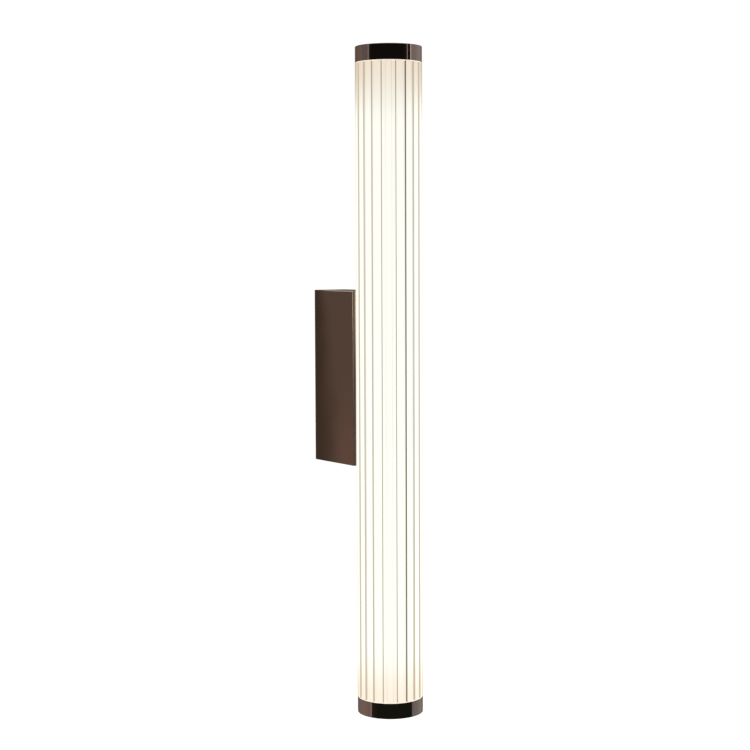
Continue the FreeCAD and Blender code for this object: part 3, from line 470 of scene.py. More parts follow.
def satin_bronze(metal, box):
    """Fine satin bronze on cast metal: painted shade to the wall, painted light redder below, painted edge
    highlights.
    """
    low, high = box
    finish = Finish("satin_bronze", {"Metallic": 1.0, "Specular Tint": (0.5, 0.42, 0.36, 1)})
    x, y, z = finish.axes()

    # Share of the height from the top, and of the depth from the wall, which wanders a little
    below = finish.spread(z, high.z, low.z)
    forward = finish.spread(y, high.y, low.y)
    forward = finish.math("ADD", forward, finish.drift(finish.noise(22, detail=2.0), -0.06, 0.06))

    # Painted shade darker beside the wall, further forward the lower it is, and painted light redder low on
    # the front
    dark_reach = finish.spread(below, 0.0, 1.0, 0.3, 1.0)
    away_from_wall = finish.spread(forward, 0.0, dark_reach, smooth=True)
    tone = finish.mix(away_from_wall, [*metal.wall_shade_colour, 1], [*metal.box_colour, 1])
    low_down = finish.spread(below, 0.5, 0.9, smooth=True)
    to_front = finish.spread(forward, 0.3, 0.85, smooth=True)
    tone = finish.mix(finish.math("MULTIPLY", low_down, to_front), tone, [*metal.low_front_light_colour, 1])

    # Painted highlights along the upright edges by the tube and the top's side edges
    edge = metal.edge_width
    aside = finish.math("ABSOLUTE", x)
    behind_front = finish.math("SUBTRACT", y, low.y)
    highlight_reach = finish.spread(below, 0.1, 0.3, 1.5 * edge, 0.9 * edge)
    beside = finish.spread(aside, high.x - 0.6 * edge, high.x - 0.2 * edge, smooth=True)
    before = finish.spread(finish.math("DIVIDE", behind_front, highlight_reach), 1.0, 0.7, smooth=True)
    above = finish.spread(z, high.z - edge, high.z - edge / 2, smooth=True)
    upright_highlight = finish.math("MULTIPLY", before, finish.spread(below, 0.35, 0.75, 1.0, 0.25))
    top_highlight = finish.math("MULTIPLY", above, finish.spread(forward, 0.1, 0.5, smooth=True))
    edges = finish.math("MULTIPLY", beside, finish.math("MAXIMUM", upright_highlight, top_highlight))
    tone = finish.mix(edges, tone, [*metal.edge_highlight_colour, 1])

    # Painted light from the lit tube on the front face behind the tube, brightest at its top, and painted
    # light on the top face
    skin = edge / 20
    within = finish.spread(aside, high.x - 2.2 * edge, high.x - 1.8 * edge, 1.0, 0.0)
    from_front = finish.math("ABSOLUTE", behind_front)
    on_front = finish.math("MULTIPLY", finish.spread(from_front, 2 * skin, skin), within)
    lighted = finish.math("MULTIPLY", on_front, finish.spread(below, 0.12, 0.5, 1.0, 0.1))
    tone = finish.mix(lighted, tone, [*metal.tube_light_colour, 1])
    on_top = finish.spread(z, high.z - 2 * skin, high.z - skin)
    finish.feed("Base Color", finish.mix(on_top, tone, [*metal.top_light_colour, 1]))

    grain = finish.noise(2600, detail=2.0)
    rougher_highlights = finish.math("MULTIPLY", edges, metal.highlight_roughness)
    finish.feed("Roughness", finish.math("ADD", finish.drift(grain, 0.30, 0.38), rougher_highlights))
    finish.bump(grain, 0.006 * MM, 0.5)
    return finish.material


def drawn_metal(name, colour, roughness, contrast, stretch):
    """Metal with fine lines along one direction, as from an extrusion or a rolling mill."""
    finish = Finish(name, {"Metallic": 1.0})
    lines = finish.noise(1.0, stretch=stretch)
    finish.feed("Base Color", finish.tone(lines, colour, contrast))
    finish.feed("Roughness", finish.drift(lines, roughness * 0.85, roughness * 1.15))
    finish.bump(lines, 0.008 * MM, 0.5)
    return finish.material


def speckled(name, colour, roughness, metallic=0.0, scale=600, contrast=0.06, depth=0.01 * MM):
    """A moulded, sprayed or plated surface with a fine grain."""
    finish = Finish(name, {"Metallic": metallic})
    grain = finish.noise(scale)
    finish.feed("Base Color", finish.tone(grain, colour, contrast))
    finish.feed("Roughness", finish.drift(grain, roughness * 0.85, roughness * 1.15))
    finish.bump(grain, depth, 0.6)
    return finish.material


def rib_shades(finish, tube, recess_radius, turn):
    """Where the ribs' flanks and the shade at their feet are, and what belongs to the front rib."""
    radius = finish.tube_radius()
    pitch = math.tau / tube.rib_count
    from_front = finish.math("ABSOLUTE", turn)
    front_rib = finish.spread(from_front, pitch / 2, pitch / 2 + FRONT_RIB_BLEND, 1.0, 0.0)

    fade = finish.spread(front_rib, 0.0, 1.0, tube.flank_fade, tube.front_rib_fade)
    foot_side = finish.math("ADD", fade, recess_radius)
    crest_side = finish.math("SUBTRACT", TUBE_RADIUS, fade)
    recess_skin = recess_radius + FACE_SKIN_DEPTH / 2
    crest_skin = TUBE_RADIUS - FACE_SKIN_DEPTH / 2
    above_foot = finish.spread(radius, recess_skin, foot_side, smooth=True)
    below_crest = finish.spread(radius, crest_side, crest_skin, 1.0, 0.0, smooth=True)
    flank = finish.math("MULTIPLY", above_foot, below_crest)

    from_rib = finish.math("PINGPONG", turn, pitch / 2)
    rib_edge = pitch * tube.rib_share / 2
    foot_turn = tube.foot_width / recess_radius
    core_end = rib_edge + foot_turn * FOOT_CORE_SHARE
    beside_rib = finish.spread(from_rib, core_end, rib_edge + foot_turn, 1.0, 0.0, smooth=True)
    in_recess = finish.spread(radius, recess_skin, recess_radius + FACE_SKIN_DEPTH, 1.0, 0.0)
    return flank, finish.math("MULTIPLY", beside_rib, in_recess), front_rib


def opal_glow(tube, recess_radius):
    """Opal acrylic lit from inside: even on the faces, painted shade on the ribs' flanks and feet, warmer to
    both ends.
    """
    constants = {
        "Roughness": 0.32, "IOR": 1.49, "Specular IOR Level": 0.3, "Emission Strength": 1.0,
        "Coat Weight": 1.0, "Coat IOR": 1.0, "Coat Roughness": 0.3,
    }
    finish = Finish("opal_acrylic", constants)
    x, y, z = finish.axes(offset=(0, -AXIS_Y, 0))
    turn = finish.math("ARCTAN2", x, finish.math("MULTIPLY", y, -1.0))
    flank, foot, front_rib = rib_shades(finish, tube, recess_radius, turn)

    # The skin tints what comes through it, the more the flatter it is looked through; the flanks' darker
    # tint is painted shade
    top = TUBE_BOX[1].z
    bottom = TUBE_BOX[0].z
    near_top = finish.spread(z, top - TOP_SKIN_REACH, top, smooth=True)
    near_bottom = finish.spread(z, bottom + BOTTOM_REACH, bottom, smooth=True)
    skin = finish.mix(near_top, [*tube.face_skin, 1], [*tube.top_skin, 1])
    skin = finish.mix(near_bottom, skin, [*tube.bottom_skin, 1])
    finish.feed("Coat Tint", finish.mix(flank, skin, [*tube.flank_shade_tint, 1]))

    # The light under the skin
    to_top = finish.spread(z, top - TOP_GLOW_REACH, top)
    glow = finish.mix(to_top, [*tube.glow, 1], [*tube.top_glow, 1])
    glow = finish.mix(near_bottom, glow, [*tube.bottom_glow, 1])
    drift = finish.drift(finish.noise(14, detail=1.0), 0.985, 1.0)
    # Painted shade: less light at the ribs' feet, and dimmer, warmer light on their flanks, dimmest on the
    # front rib
    foot_light = finish.spread(foot, 0.0, 1.0, 1.0, tube.foot_glow)
    lit = finish.scaled(glow, finish.math("MULTIPLY", foot_light, drift))
    flank_level = finish.spread(front_rib, 0.0, 1.0, 1.0, tube.front_rib_share)
    flank_light = finish.mix(flank, (1, 1, 1, 1), finish.scaled(tube.flank_glow, flank_level))
    colours = {0: lit, 1: flank_light}
    light = finish.add("ShaderNodeVectorMath", colours, operation="MULTIPLY").outputs["Vector"]
    finish.feed("Emission Color", light)

    body = finish.tone(finish.noise(90), tube.body, 0.03)
    # Painted shade: the unlit acrylic darker on the flanks
    body_level = finish.spread(flank, 0.0, 1.0, 1.0, FLANK_BODY_SHARE)
    finish.feed("Base Color", finish.scaled(body, body_level))
    finish.bump(finish.noise(1500), 0.004 * MM, 0.4)
    return finish.material


def clear_glow(glow, body):
    """Clear silicone that the tube's light runs into."""
    finish = Finish("clear_silicone", {"Roughness": 0.2, "IOR": 1.41, "Emission Strength": 1.0})
    grain = finish.noise(800)
    finish.feed("Emission Color", finish.tone(grain, glow, 0.04))
    finish.feed("Base Color", finish.tone(grain, body, 0.04))
    finish.bump(grain, 0.01 * MM, 0.4)
    return finish.material


def foam(colour):
    """Closed-cell foam with open cells where it was cut."""
    finish = Finish("black_foam", {"Metallic": 0.0})
    inputs = {"Vector": finish.place(), "Scale": 1800}
    cells = finish.add("ShaderNodeTexVoronoi", inputs).outputs["Distance"]
    finish.feed("Base Color", finish.tone(cells, colour, 0.3))
    finish.feed("Roughness", finish.spread(cells, 0.0, 1.0, 0.75, 0.95))
    finish.bump(cells, 0.08 * MM, 0.4)
    return finish.material


def striped_insulation(name, colour, stripe):
    """Lead insulation in two colours, one on each side of the light's middle."""
    finish = Finish(name, {"Roughness": 0.4})
    side = finish.spread(finish.axes()[0], -0.1 * MM, 0.1 * MM, smooth=True)
    finish.feed("Base Color", finish.mix(side, [*colour, 1], [*stripe, 1]))
    finish.bump(finish.noise(1200), 0.01 * MM, 0.4)
    return finish.material


def glowing_phosphor(colour):
    """The phosphor over the LED dies."""
    finish = Finish("led_phosphor", {"Roughness": 0.4, "Emission Strength": 2.0})
    grain = finish.noise(2500)
    finish.feed("Base Color", finish.tone(grain, colour, 0.1))
    finish.feed("Emission Color", finish.tone(grain, (1.0, 0.93, 0.8), 0.05))
    return finish.material


def make_finishes(settings):
    """One material for each slot of the record."""
    polished_bronze(settings.metal.cap_colour)
    satin_bronze(settings.metal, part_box("back_box"))
    opal_glow(settings.tube, TUBE_RADIUS - settings.tube.rib_height)
    clear_glow(settings.caps.ring_glow, settings.caps.ring_body)
    foam(SLOT_COLOURS["black_foam"])
    glowing_phosphor(SLOT_COLOURS["led_phosphor"])

    # Waves for each metre, many across a piece and few up it
    upright_lines = (2500, 2500, 4)
    drawn = {"bronze_anodised": (0.32, 0.10), "zinc_steel": (0.30, 0.12), "plain_aluminium": (0.30, 0.08)}
    for slot, (roughness, contrast) in drawn.items():
        drawn_metal(slot, SLOT_COLOURS[slot], roughness, contrast, upright_lines)

    metals = {"dark_screws": 0.32, "brass": 0.25, "tinned_copper": 0.3}
    for slot, roughness in metals.items():
        speckled(slot, SLOT_COLOURS[slot], roughness, metallic=1.0, scale=900, contrast=0.08)
    mouldings = {
        "black_rubber": 0.6, "white_nylon": 0.45, "driver_plastic": 0.5, "green_laminate": 0.35,
        "ferrite": 0.55, "capacitor_sleeve": 0.3, "brown_insulation": 0.4, "blue_insulation": 0.4,
        "red_insulation": 0.4, "black_insulation": 0.4, "white_insulation": 0.4, "white_laminate": 0.35,
    }
    for slot, roughness in mouldings.items():
        speckled(slot, SLOT_COLOURS[slot], roughness, contrast=0.07)

    green = (0.04, 0.30, 0.06)
    yellow = (0.75, 0.60, 0.03)
    striped_insulation("green_yellow_insulation", green, yellow)


# Shapes

def new_piece(name, shape, material, slot, *replaced):
    """Turns a finished bmesh into an object that rides on the light and stands for its CAD nodes."""
    mesh = bpy.data.meshes.new(name)
    shape.to_mesh(mesh)
    shape.free()
    mesh.shade_smooth()
    mesh.set_sharp_from_angle(angle=SMOOTH_ANGLE)
    mesh.materials.append(material)
    piece = bpy.data.objects.new(name, mesh)
    bpy.context.scene.collection.objects.link(piece)
    weighted = piece.modifiers.new("Even shading", "WEIGHTED_NORMAL")
    weighted.keep_sharp = True
    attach(piece, BODY)
    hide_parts(*replaced)
    return piece


def bevel_edges(shape, edges, width, segments):
    """Rounds the given edges."""
    bmesh.ops.bevel(
        shape, geom=edges, offset=width, offset_type="OFFSET", affect="EDGES", segments=segments,
        profile=0.5, material=-1, clamp_overlap=True,
    )


def merge_and_face_out(shape):
    """Joins doubled points and turns every face outward."""
    bmesh.ops.remove_doubles(shape, verts=shape.verts[:], dist=WELD)
    bmesh.ops.recalc_face_normals(shape, faces=shape.faces[:])


def turned(profile, steps, place):
    """A turned shape: a profile of radius and height, spun round the upright axis and then set in place."""
    shape = bmesh.new()
    points = [shape.verts.new((radius, 0, height)) for radius, height in profile]
    for first, second in zip(points, points[1:]):
        shape.edges.new((first, second))
    bmesh.ops.spin(
        shape, geom=shape.verts[:] + shape.edges[:], cent=(0, 0, 0), axis=(0, 0, 1), dvec=(0, 0, 0),
        angle=math.tau, steps=steps, use_merge=True, use_duplicate=False,
    )
    merge_and_face_out(shape)
    bmesh.ops.transform(shape, matrix=place, verts=shape.verts[:])
    return shape


def ring_edges(shape, radius, height, centre=Vector((0, 0, 0))):
    """The edges of a turned shape that lie on one circle."""
    def on_circle(point):
        """Whether a point lies on the circle."""
        across = math.hypot(point.co.x - centre.x, point.co.y - centre.y)
        return abs(across - radius) < NEAR and abs(point.co.z - height) < NEAR

    return [edge for edge in shape.edges if all(on_circle(point) for point in edge.verts)]


def tube_outline(tube, recess_radius):
    """The outer outline of the ribbed tube at its lower end, cut open at the back slot."""
    centre = Vector((0, AXIS_Y, TUBE_BOX[0].z))
    pitch = math.tau / tube.rib_count
    half_rib = pitch * tube.rib_share / 2
    shape = bmesh.new()

    def sweep(point, angle, steps):
        """Draws the outline on round the axis, and gives its new end."""
        done = bmesh.ops.spin(
            shape, geom=[point], cent=centre, axis=UP, dvec=(0, 0, 0), angle=angle, steps=steps,
            use_merge=False, use_duplicate=False,
        )
        return next(part for part in done["geom_last"] if isinstance(part, bmesh.types.BMVert))

    def step_out(point, distance):
        """Draws the outline on away from the axis, and gives its new end."""
        done = bmesh.ops.extrude_vert_indiv(shape, verts=[point])
        outward = (point.co - centre).normalized()
        bmesh.ops.translate(shape, verts=done["verts"], vec=outward * distance)
        return done["verts"][0]

    start = centre + Matrix.Rotation(-pitch / 2, 3, "Z") @ Vector((0, -recess_radius, 0))
    half_recess = pitch / 2 - half_rib
    point = sweep(shape.verts.new(start), half_recess, HALF_RECESS_STEPS)
    point = step_out(point, TUBE_RADIUS - recess_radius)
    point = sweep(point, 2 * half_rib, RIB_STEPS)
    point = step_out(point, recess_radius - TUBE_RADIUS)
    sweep(point, half_recess, HALF_RECESS_STEPS)
    bmesh.ops.spin(
        shape, geom=shape.verts[:] + shape.edges[:], cent=centre, axis=UP, dvec=(0, 0, 0),
        angle=math.tau - pitch, steps=tube.rib_count - 1, use_merge=False, use_duplicate=True,
    )
    bmesh.ops.remove_doubles(shape, verts=shape.verts[:], dist=WELD)
    return shape


def make_ribbed_tube(tube, material):
    """The opal tube: ribs round its outside, a slot along its back."""
    recess_radius = TUBE_RADIUS - tube.rib_height
    inner_radius = recess_radius - tube.wall
    slot_half = STRIP_BOX[1].x + tube.slot_clearance

    # The outer outline, cut open at the back slot
    shape = tube_outline(tube, recess_radius)
    for side in (-1, 1):
        behind = [vert for vert in shape.verts if vert.co.y > AXIS_Y]
        cut = [edge for edge in shape.edges if any(vert in behind for vert in edge.verts)]
        bmesh.ops.bisect_plane(
            shape, geom=behind + cut, plane_co=(side * slot_half, 0, 0), plane_no=(1, 0, 0), dist=WELD,
        )
    near = 0.002 * MM
    in_slot = [v for v in shape.verts if v.co.y > AXIS_Y and abs(v.co.x) < slot_half - near]
    bmesh.ops.delete(shape, geom=in_slot, context="VERTS")
    ends = sorted((v for v in shape.verts if len(v.link_edges) == 1), key=lambda v: v.co.x)
    left_end, right_end = ends

    # The inner wall, from one side of the slot round to the other
    inner_y = math.sqrt(inner_radius ** 2 - slot_half ** 2)
    centre = Vector((0, AXIS_Y, TUBE_BOX[0].z))
    first = bmesh.ops.extrude_vert_indiv(shape, verts=[right_end])["verts"][0]
    first.co.y = AXIS_Y + inner_y
    gap = 2 * math.asin(slot_half / inner_radius)
    done = bmesh.ops.spin(
        shape, geom=[first], cent=centre, axis=UP, dvec=(0, 0, 0), angle=gap - math.tau,
        steps=TUBE_INNER_STEPS, use_merge=False, use_duplicate=False,
    )
    last = next(part for part in done["geom_last"] if isinstance(part, bmesh.types.BMVert))
    shape.edges.new((last, left_end))

    # The outline filled and raised to the tube's length
    bmesh.ops.edgeloop_fill(shape, edges=shape.edges[:])
    raised = bmesh.ops.extrude_face_region(shape, geom=shape.faces[:])["geom"]
    raised = [part for part in raised if isinstance(part, bmesh.types.BMVert)]
    bmesh.ops.translate(shape, verts=raised, vec=UP * (TUBE_BOX[1].z - TUBE_BOX[0].z))
    bmesh.ops.recalc_face_normals(shape, faces=shape.faces[:])

    def is_rib_corner(edge):
        """Whether an edge runs up the tube along a rib's corner."""
        low, high = edge.verts
        upright = abs(low.co.z - high.co.z) > near
        outside = math.hypot(low.co.x, low.co.y - AXIS_Y) > recess_radius - near
        off_slot = low.co.y < AXIS_Y or abs(low.co.x) > slot_half + near
        return upright and outside and off_slot and edge.calc_face_angle(0) > RIB_CORNER_ANGLE

    bevel_edges(shape, [edge for edge in shape.edges if is_rib_corner(edge)], tube.edge, segments=2)
    return new_piece("ribbed_tube", shape, material, "opal_acrylic", "diffuser")


def make_cap(caps, name, node, gasket, side, material):
    """A turned cap with a rounded edge and a blind threaded boss."""
    low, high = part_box(node)
    height = high.z - low.z
    stud_low, stud_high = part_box("upper_cap_stud" if side > 0 else "lower_cap_stud")
    tube_end = TUBE_BOX[1].z if side > 0 else TUBE_BOX[0].z
    outer_end = high.z if side > 0 else low.z
    ring_low, ring_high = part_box(gasket)
    rim = ring_high.z - ring_low.z
    total = abs(outer_end - tube_end)
    stud = (stud_high.z if side > 0 else stud_low.z) - tube_end
    bore_depth = abs(stud) + caps.bore_room
    inner = CAP_RADIUS - caps.wall
    profile = [
        (0, total),
        (CAP_RADIUS, total),
        (CAP_RADIUS, rim),
        (inner, rim),
        (inner, total - caps.top),
        (caps.boss_radius, total - caps.top),
        (caps.boss_radius, total - height),
        (caps.bore_radius, total - height),
        (caps.bore_radius, bore_depth),
        (0, bore_depth),
    ]
    shape = turned(profile, CAP_STEPS, Matrix.Identity(4))
    bevel_edges(shape, ring_edges(shape, CAP_RADIUS, total), caps.edge, segments=5)
    rim_edges = ring_edges(shape, CAP_RADIUS, rim) + ring_edges(shape, inner, rim)
    bevel_edges(shape, rim_edges, caps.rim_edge, segments=2)
    bmesh.ops.transform(shape, matrix=Matrix.Diagonal((1, 1, side, 1)), verts=shape.verts[:])
    bmesh.ops.translate(shape, verts=shape.verts[:], vec=(0, AXIS_Y, tube_end))
    merge_and_face_out(shape)
    return new_piece(name, shape, material, "polished_bronze", node)


def make_clear_ring(caps, name, node, material):
    """The clear ring between the tube and a cap, with soft edges."""
    low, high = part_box(node)
    outer = (high.x - low.x) / 2
    inner = outer - caps.ring_width
    thickness = high.z - low.z
    profile = [(inner, 0), (outer, 0), (outer, thickness), (inner, thickness), (inner, 0)]
    shape = turned(profile, RING_STEPS, Matrix.Translation((0, AXIS_Y, low.z)))
    centre = Vector((0, AXIS_Y, 0))
    edges = ring_edges(shape, outer, low.z, centre) + ring_edges(shape, outer, high.z, centre)
    bevel_edges(shape, edges, caps.rim_edge, segments=2)
    return new_piece(name, shape, material, "clear_silicone", node)


def make_foam_frame(fittings, material):
    """The foam frame against the wall, with round corners and squeezed edges."""
    low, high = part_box("wall_gasket")
    shape = bmesh.new()
    bmesh.ops.create_grid(shape, x_segments=1, y_segments=1, size=0.5)
    bmesh.ops.scale(shape, vec=(high.x - low.x, high.z - low.z, 1), verts=shape.verts[:])
    [middle] = shape.faces[:]
    bmesh.ops.inset_region(
        shape, faces=[middle], thickness=fittings.foam_wall, use_boundary=True, use_even_offset=True,
    )
    bmesh.ops.delete(shape, geom=[middle], context="FACES_ONLY")
    raised = bmesh.ops.extrude_face_region(shape, geom=shape.faces[:])["geom"]
    raised = [part for part in raised if isinstance(part, bmesh.types.BMVert)]
    bmesh.ops.translate(shape, verts=raised, vec=UP * (high.y - low.y))
    merge_and_face_out(shape)
    upright = [edge for edge in shape.edges if abs(edge.verts[0].co.z - edge.verts[1].co.z) > MM]
    bevel_edges(shape, upright, fittings.foam_corner, segments=5)
    rims = [edge for edge in shape.edges if edge.calc_face_angle(0) > SQUARE_EDGE_ANGLE]
    bevel_edges(shape, rims, fittings.foam_edge, segments=3)
    place = Matrix.Translation((0, high.y, 0)) @ Matrix.Rotation(math.pi / 2, 4, "X")
    bmesh.ops.transform(shape, matrix=place, verts=shape.verts[:])
    return new_piece("foam_frame", shape, material, "black_foam", "wall_gasket")


def make_cable_grommet(fittings, material):
    """The rubber ring in the bracket's cable hole, with round lips."""
    low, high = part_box("cable_grommet")
    outer = (high.x - low.x) / 2
    length = high.y - low.y
    lip = fittings.lip
    bore = fittings.bore_radius
    groove = fittings.groove_radius
    profile = [
        (bore, 0),
        (outer, 0),
        (outer, lip),
        (groove, lip),
        (groove, length - lip),
        (outer, length - lip),
        (outer, length),
        (bore, length),
        (bore, 0),
    ]
    shape = turned(profile, GROMMET_STEPS, Matrix.Identity(4))
    edges = []
    for height in (0, lip, length - lip, length):
        edges += ring_edges(shape, outer, height)
    for height in (0, length):
        edges += ring_edges(shape, bore, height)
    bevel_edges(shape, edges, fittings.lip_edge, segments=4)
    middle = (0, high.y, (low.z + high.z) / 2)
    place = Matrix.Translation(middle) @ Matrix.Rotation(math.pi / 2, 4, "X")
    bmesh.ops.transform(shape, matrix=place, verts=shape.verts[:])
    merge_and_face_out(shape)
    return new_piece("moulded_grommet", shape, material, "black_rubber", "cable_grommet")


def make_flush_screws(fittings, material):
    """The flush screws in the box's top and bottom wall, each with a six-sided socket."""
    low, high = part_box("box_fixing_screws")
    head_radius = (high.x - low.x) / 2
    socket_radius = head_radius * fittings.socket_share
    shape = bmesh.new()
    rim = bmesh.ops.create_circle(shape, segments=SCREW_STEPS, radius=head_radius)["verts"]
    socket = bmesh.ops.create_circle(shape, segments=SOCKET_SIDES, radius=socket_radius)["verts"]
    rim_edges = [edge for edge in shape.edges if edge.verts[0] in rim]
    socket_edges = [edge for edge in shape.edges if edge.verts[0] in socket]
    bmesh.ops.bridge_loops(shape, edges=rim_edges + socket_edges)

    def pull(edges, depth, scale=1.0):
        """Draws a loop of edges down, and in or out."""
        drawn = bmesh.ops.extrude_edge_only(shape, edges=edges)["geom"]
        points = [part for part in drawn if isinstance(part, bmesh.types.BMVert)]
        bmesh.ops.translate(shape, verts=points, vec=UP * -depth)
        bmesh.ops.scale(shape, vec=(scale, scale, 1), verts=points)
        return [part for part in drawn if isinstance(part, bmesh.types.BMEdge)]

    floor_edges = pull(socket_edges, fittings.socket_depth)
    bmesh.ops.edgeloop_fill(shape, edges=floor_edges)
    loop = pull(rim_edges, fittings.head_land)
    loop = pull(loop, fittings.head - fittings.head_land, fittings.shank_radius / head_radius)
    tip = fittings.shank_radius / 3
    tip_share = 2 / 3
    loop = pull(loop, fittings.screw_length - fittings.head - tip)
    loop = pull(loop, tip, tip_share)
    bmesh.ops.edgeloop_fill(shape, edges=loop)
    bmesh.ops.translate(shape, verts=shape.verts[:], vec=(0, (low.y + high.y) / 2, high.z))
    both = bmesh.ops.duplicate(shape, geom=shape.verts[:] + shape.edges[:] + shape.faces[:])["geom"]
    lower = [part for part in both if isinstance(part, bmesh.types.BMVert)]
    bmesh.ops.transform(shape, matrix=Matrix.Diagonal((1, 1, -1, 1)), verts=lower)
    merge_and_face_out(shape)
    return new_piece("flush_screws", shape, material, "dark_screws", "box_fixing_screws")


def dress(nodes):
    """Gives CAD nodes the finish of their own slot."""
    for node in nodes:
        for material_slot in frame["nodes"][node].material_slots:
            material_slot.material = finish_of(material_slot.material.name)


# Stage

def make_camera(stage):
    """The camera at the photo's place and angle."""
    data = bpy.data.cameras.new("camera")
    data.lens = stage.lens
    data.clip_start = CAMERA_NEAREST
    camera = bpy.data.objects.new("camera", data)
    turn = Matrix.Rotation(-stage.camera_turn, 4, "Z")
    tilt = Matrix.Rotation(math.pi / 2 - stage.camera_pitch, 4, "X")
    roll = Matrix.Rotation(stage.camera_roll, 4, "Z")
    camera.matrix_world = Matrix.Translation(stage.camera_place) @ turn @ tilt @ roll
    bpy.context.scene.collection.objects.link(camera)
    bpy.context.scene.camera = camera


def make_floor(stage):
    """A round pale floor under the light."""
    shape = bmesh.new()
    bmesh.ops.create_circle(shape, cap_ends=True, segments=FLOOR_STEPS, radius=stage.floor_radius)
    level = cad_bounds[0].z - stage.floor_drop
    bmesh.ops.translate(shape, verts=shape.verts[:], vec=(0, AXIS_Y, level))
    mesh = bpy.data.meshes.new("floor")
    shape.to_mesh(mesh)
    shape.free()
    floor = bpy.data.objects.new("floor", mesh)
    bpy.context.scene.collection.objects.link(floor)
    pale = (0.93, 0.93, 0.92)
    mesh.materials.append(speckled("pale_floor", pale, roughness=0.9, scale=40, contrast=0.005, depth=0.0))
    floor.visible_glossy = False


def make_room(stage):
    """The room's light: a white backdrop, a dark curtain by the camera and soft light from above."""
    world = bpy.data.worlds.new("studio")
    bpy.context.scene.world = world
    world.use_nodes = True
    world.node_tree.nodes.clear()
    room = Nodes(world.node_tree)

    direction = room.add("ShaderNodeTexCoord", {}).outputs["Generated"]
    towards_camera = math.atan2(stage.camera_place[1] - AXIS_Y, stage.camera_place[0])
    inputs = {"Vector": direction, "Rotation": (0, 0, -towards_camera)}
    turned_direction = room.add("ShaderNodeMapping", inputs).outputs["Vector"]
    gradient = room.add("ShaderNodeTexGradient", {"Vector": turned_direction}, gradient_type="RADIAL")
    around = gradient.outputs["Fac"]

    def ring_of_light(stops):
        """Light by direction: each stop is in degrees from the camera's direction, positive to the right."""
        ramp = room.add("ShaderNodeValToRGB", {"Fac": around})
        elements = ramp.color_ramp.elements
        while len(elements) < len(stops):
            elements.new(1.0)
        for element, (angle, colour) in zip(elements, stops):
            element.position = 0.5 + angle / 360
            element.color = (*colour, 1)
        return ramp.outputs["Color"]

    curtain = (stage.curtain, stage.curtain, stage.curtain)
    dark = (stage.curtain / 4, stage.curtain / 4, stage.curtain / 4)
    far = (0.2, 0.2, 0.2)
    left_strip = (1.7, 1.6, 1.58)
    thin_strip = (1.9, 1.8, 1.75)
    right_strip = (4.8, 4.6, 4.5)
    upper = ring_of_light([
        (-180, far), (-162, (0.6, 0.58, 0.56)), (-134, (1.05, 0.93, 0.82)),
        (-107, (1.02, 0.88, 0.77)), (-98, (0.80, 0.75, 0.73)), (-75, (0.80, 0.74, 0.74)),
        (-74, left_strip), (-71, left_strip),
        (-70, (0.17, 0.14, 0.12)), (-65, (0.08, 0.06, 0.05)), (-62, curtain), (54, curtain),
        (66.6, (0.13, 0.09, 0.07)), (67.4, thin_strip), (69.4, thin_strip),
        (69.9, dark), (80.6, dark),
        (81, right_strip), (83.2, right_strip),
        (84, (1.2, 1.18, 1.25)), (105, (1.38, 1.31, 1.40)), (134, (2.0, 2.25, 2.4)),
        (162, (0.7, 0.75, 0.75)), (180, far),
    ])
    low_curtain = (stage.curtain * 1.55, stage.curtain * 1.75, stage.curtain * 1.4)
    low_strip = (1.9, 1.75, 1.7)
    lower = ring_of_light([
        (-180, far), (-162, (0.8, 0.8, 0.8)), (-134, (1.35, 1.33, 1.33)), (-100, (1.27, 1.05, 0.95)),
        (-74.5, (1.0, 0.85, 0.82)), (-73.2, low_strip), (-69.8, low_strip),
        (-69, (0.16, 0.11, 0.08)), (-45, low_curtain), (81, low_curtain),
        (84, (1.06, 1.07, 1.11)), (110, (1.34, 1.35, 1.39)), (134, (2.15, 2.2, 2.35)),
        (162, (0.8, 0.85, 0.85)), (180, far),
    ])

    # Lower and upper ring by the direction's height, with the soft light over both
    height = room.add("ShaderNodeSeparateXYZ", {"Vector": direction}).outputs["Z"]
    to_overhead = room.spread(height, 0.45, 0.75, smooth=True)
    overhead = (stage.overhead, stage.overhead, stage.overhead * 0.98, 1)
    to_upper = room.spread(height, -0.2, 0.0, smooth=True)
    sides = room.mix(to_upper, lower, upper)
    light = room.mix(to_overhead, sides, overhead)

    # The camera sees the backdrop, and everything else the room's light
    studio = room.add("ShaderNodeBackground", {"Color": light, "Strength": 1.0})
    backdrop = room.add("ShaderNodeBackground", {"Color": (1, 1, 1, 1), "Strength": stage.backdrop})
    seen = room.add("ShaderNodeLightPath", {}).outputs["Is Camera Ray"]
    inputs = {0: seen, 1: studio.outputs["Background"], 2: backdrop.outputs["Background"]}
    both = room.add("ShaderNodeMixShader", inputs)
    room.add("ShaderNodeOutputWorld", {"Surface": both.outputs["Shader"]})


# Operators

class WALLLIGHT_OT_stage(bpy.types.Operator):
    """Set up the floor, the room's light and the camera."""

    bl_idname = "walllight.stage"
    bl_label = "Stage"

    def execute(self, context):
        stage = context.scene.wall_light.stage
        context.scene.view_settings.view_transform = "Standard"
        make_camera(stage)
        make_floor(stage)
        make_room(stage)
        return {"FINISHED"}


class WALLLIGHT_OT_finishes(bpy.types.Operator):
    """Make every finish and dress the CAD nodes that stay."""

    bl_idname = "walllight.finishes"
    bl_label = "Finishes"

    def execute(self, context):
        make_finishes(context.scene.wall_light)
        dress(sorted(frame["nodes"]))
        return {"FINISHED"}


class WALLLIGHT_OT_ribbed_tube(bpy.types.Operator):
    """Model the ribbed opal tube."""

    bl_idname = "walllight.ribbed_tube"
    bl_label = "Ribbed tube"

    def execute(self, context):
        make_ribbed_tube(context.scene.wall_light.tube, finish_of("opal_acrylic"))
        return {"FINISHED"}


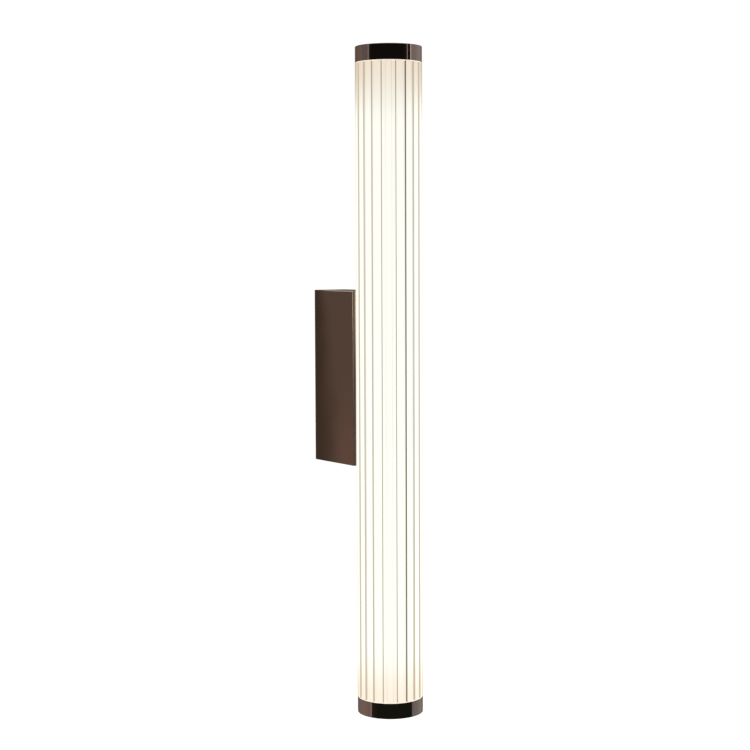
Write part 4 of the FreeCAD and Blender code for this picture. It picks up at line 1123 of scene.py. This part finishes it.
class WALLLIGHT_OT_caps(bpy.types.Operator):
    """Model both turned caps and the clear rings under them."""

    bl_idname = "walllight.caps"
    bl_label = "Caps and clear rings"

    def execute(self, context):
        caps = context.scene.wall_light.caps
        bronze = finish_of("polished_bronze")
        silicone = finish_of("clear_silicone")
        make_cap(caps, "turned_cap_top", "top_cap", "upper_cap_gasket", 1, bronze)
        make_cap(caps, "turned_cap_bottom", "bottom_cap", "lower_cap_gasket", -1, bronze)
        make_clear_ring(caps, "clear_ring_top", "upper_cap_gasket", silicone)
        make_clear_ring(caps, "clear_ring_bottom", "lower_cap_gasket", silicone)
        return {"FINISHED"}


class WALLLIGHT_OT_foam_frame(bpy.types.Operator):
    """Model the foam frame between box and wall."""

    bl_idname = "walllight.foam_frame"
    bl_label = "Foam frame"

    def execute(self, context):
        make_foam_frame(context.scene.wall_light.fittings, finish_of("black_foam"))
        return {"FINISHED"}


class WALLLIGHT_OT_grommet(bpy.types.Operator):
    """Model the cable grommet."""

    bl_idname = "walllight.grommet"
    bl_label = "Cable grommet"

    def execute(self, context):
        make_cable_grommet(context.scene.wall_light.fittings, finish_of("black_rubber"))
        return {"FINISHED"}


class WALLLIGHT_OT_flush_screws(bpy.types.Operator):
    """Model the flush screws that hold the box."""

    bl_idname = "walllight.flush_screws"
    bl_label = "Flush screws"

    def execute(self, context):
        make_flush_screws(context.scene.wall_light.fittings, finish_of("dark_screws"))
        return {"FINISHED"}


class WallLightSettings(bpy.types.PropertyGroup):
    """All the light's settings."""

    tube: PointerProperty(type=TubeSettings, name="Tube", description="Ribbed tube")
    caps: PointerProperty(type=CapSettings, name="Caps", description="Caps and clear rings")
    fittings: PointerProperty(type=FittingSettings, name="Fittings", description="Foam, grommet and screws")
    metal: PointerProperty(type=MetalSettings, name="Metal", description="Bronze finishes")
    stage: PointerProperty(type=StageSettings, name="Stage", description="Floor, room and camera")


STEPS = (
    WALLLIGHT_OT_stage,
    WALLLIGHT_OT_finishes,
    WALLLIGHT_OT_ribbed_tube,
    WALLLIGHT_OT_caps,
    WALLLIGHT_OT_foam_frame,
    WALLLIGHT_OT_grommet,
    WALLLIGHT_OT_flush_screws,
)


class WALLLIGHT_PT_panel(bpy.types.Panel):
    """The wall light's steps and settings in the sidebar."""

    bl_idname = "WALLLIGHT_PT_panel"
    bl_label = "Wall light"
    bl_space_type = "VIEW_3D"
    bl_region_type = "UI"
    bl_category = "Wall light"

    def draw(self, context):
        settings = context.scene.wall_light
        for step in STEPS:
            self.layout.operator(step.bl_idname)
        for group in (settings.tube, settings.caps, settings.fittings, settings.metal, settings.stage):
            box = self.layout.box()
            for name in group.bl_rna.properties.keys():
                if name not in ("rna_type", "name"):
                    box.prop(group, name)


CLASSES = (
    TubeSettings, CapSettings, FittingSettings, MetalSettings, StageSettings, WallLightSettings, *STEPS,
    WALLLIGHT_PT_panel,
)


def register():
    for entry in CLASSES:
        bpy.utils.register_class(entry)
    bpy.types.Scene.wall_light = PointerProperty(type=WallLightSettings)


def unregister():
    del bpy.types.Scene.wall_light
    for entry in reversed(CLASSES):
        bpy.utils.unregister_class(entry)


def main():
    """Registers the add-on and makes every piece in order."""
    register()
    for step in STEPS:
        group, name = step.bl_idname.split(".")
        getattr(getattr(bpy.ops, group), name)()


if __name__ == "__main__":
    main()
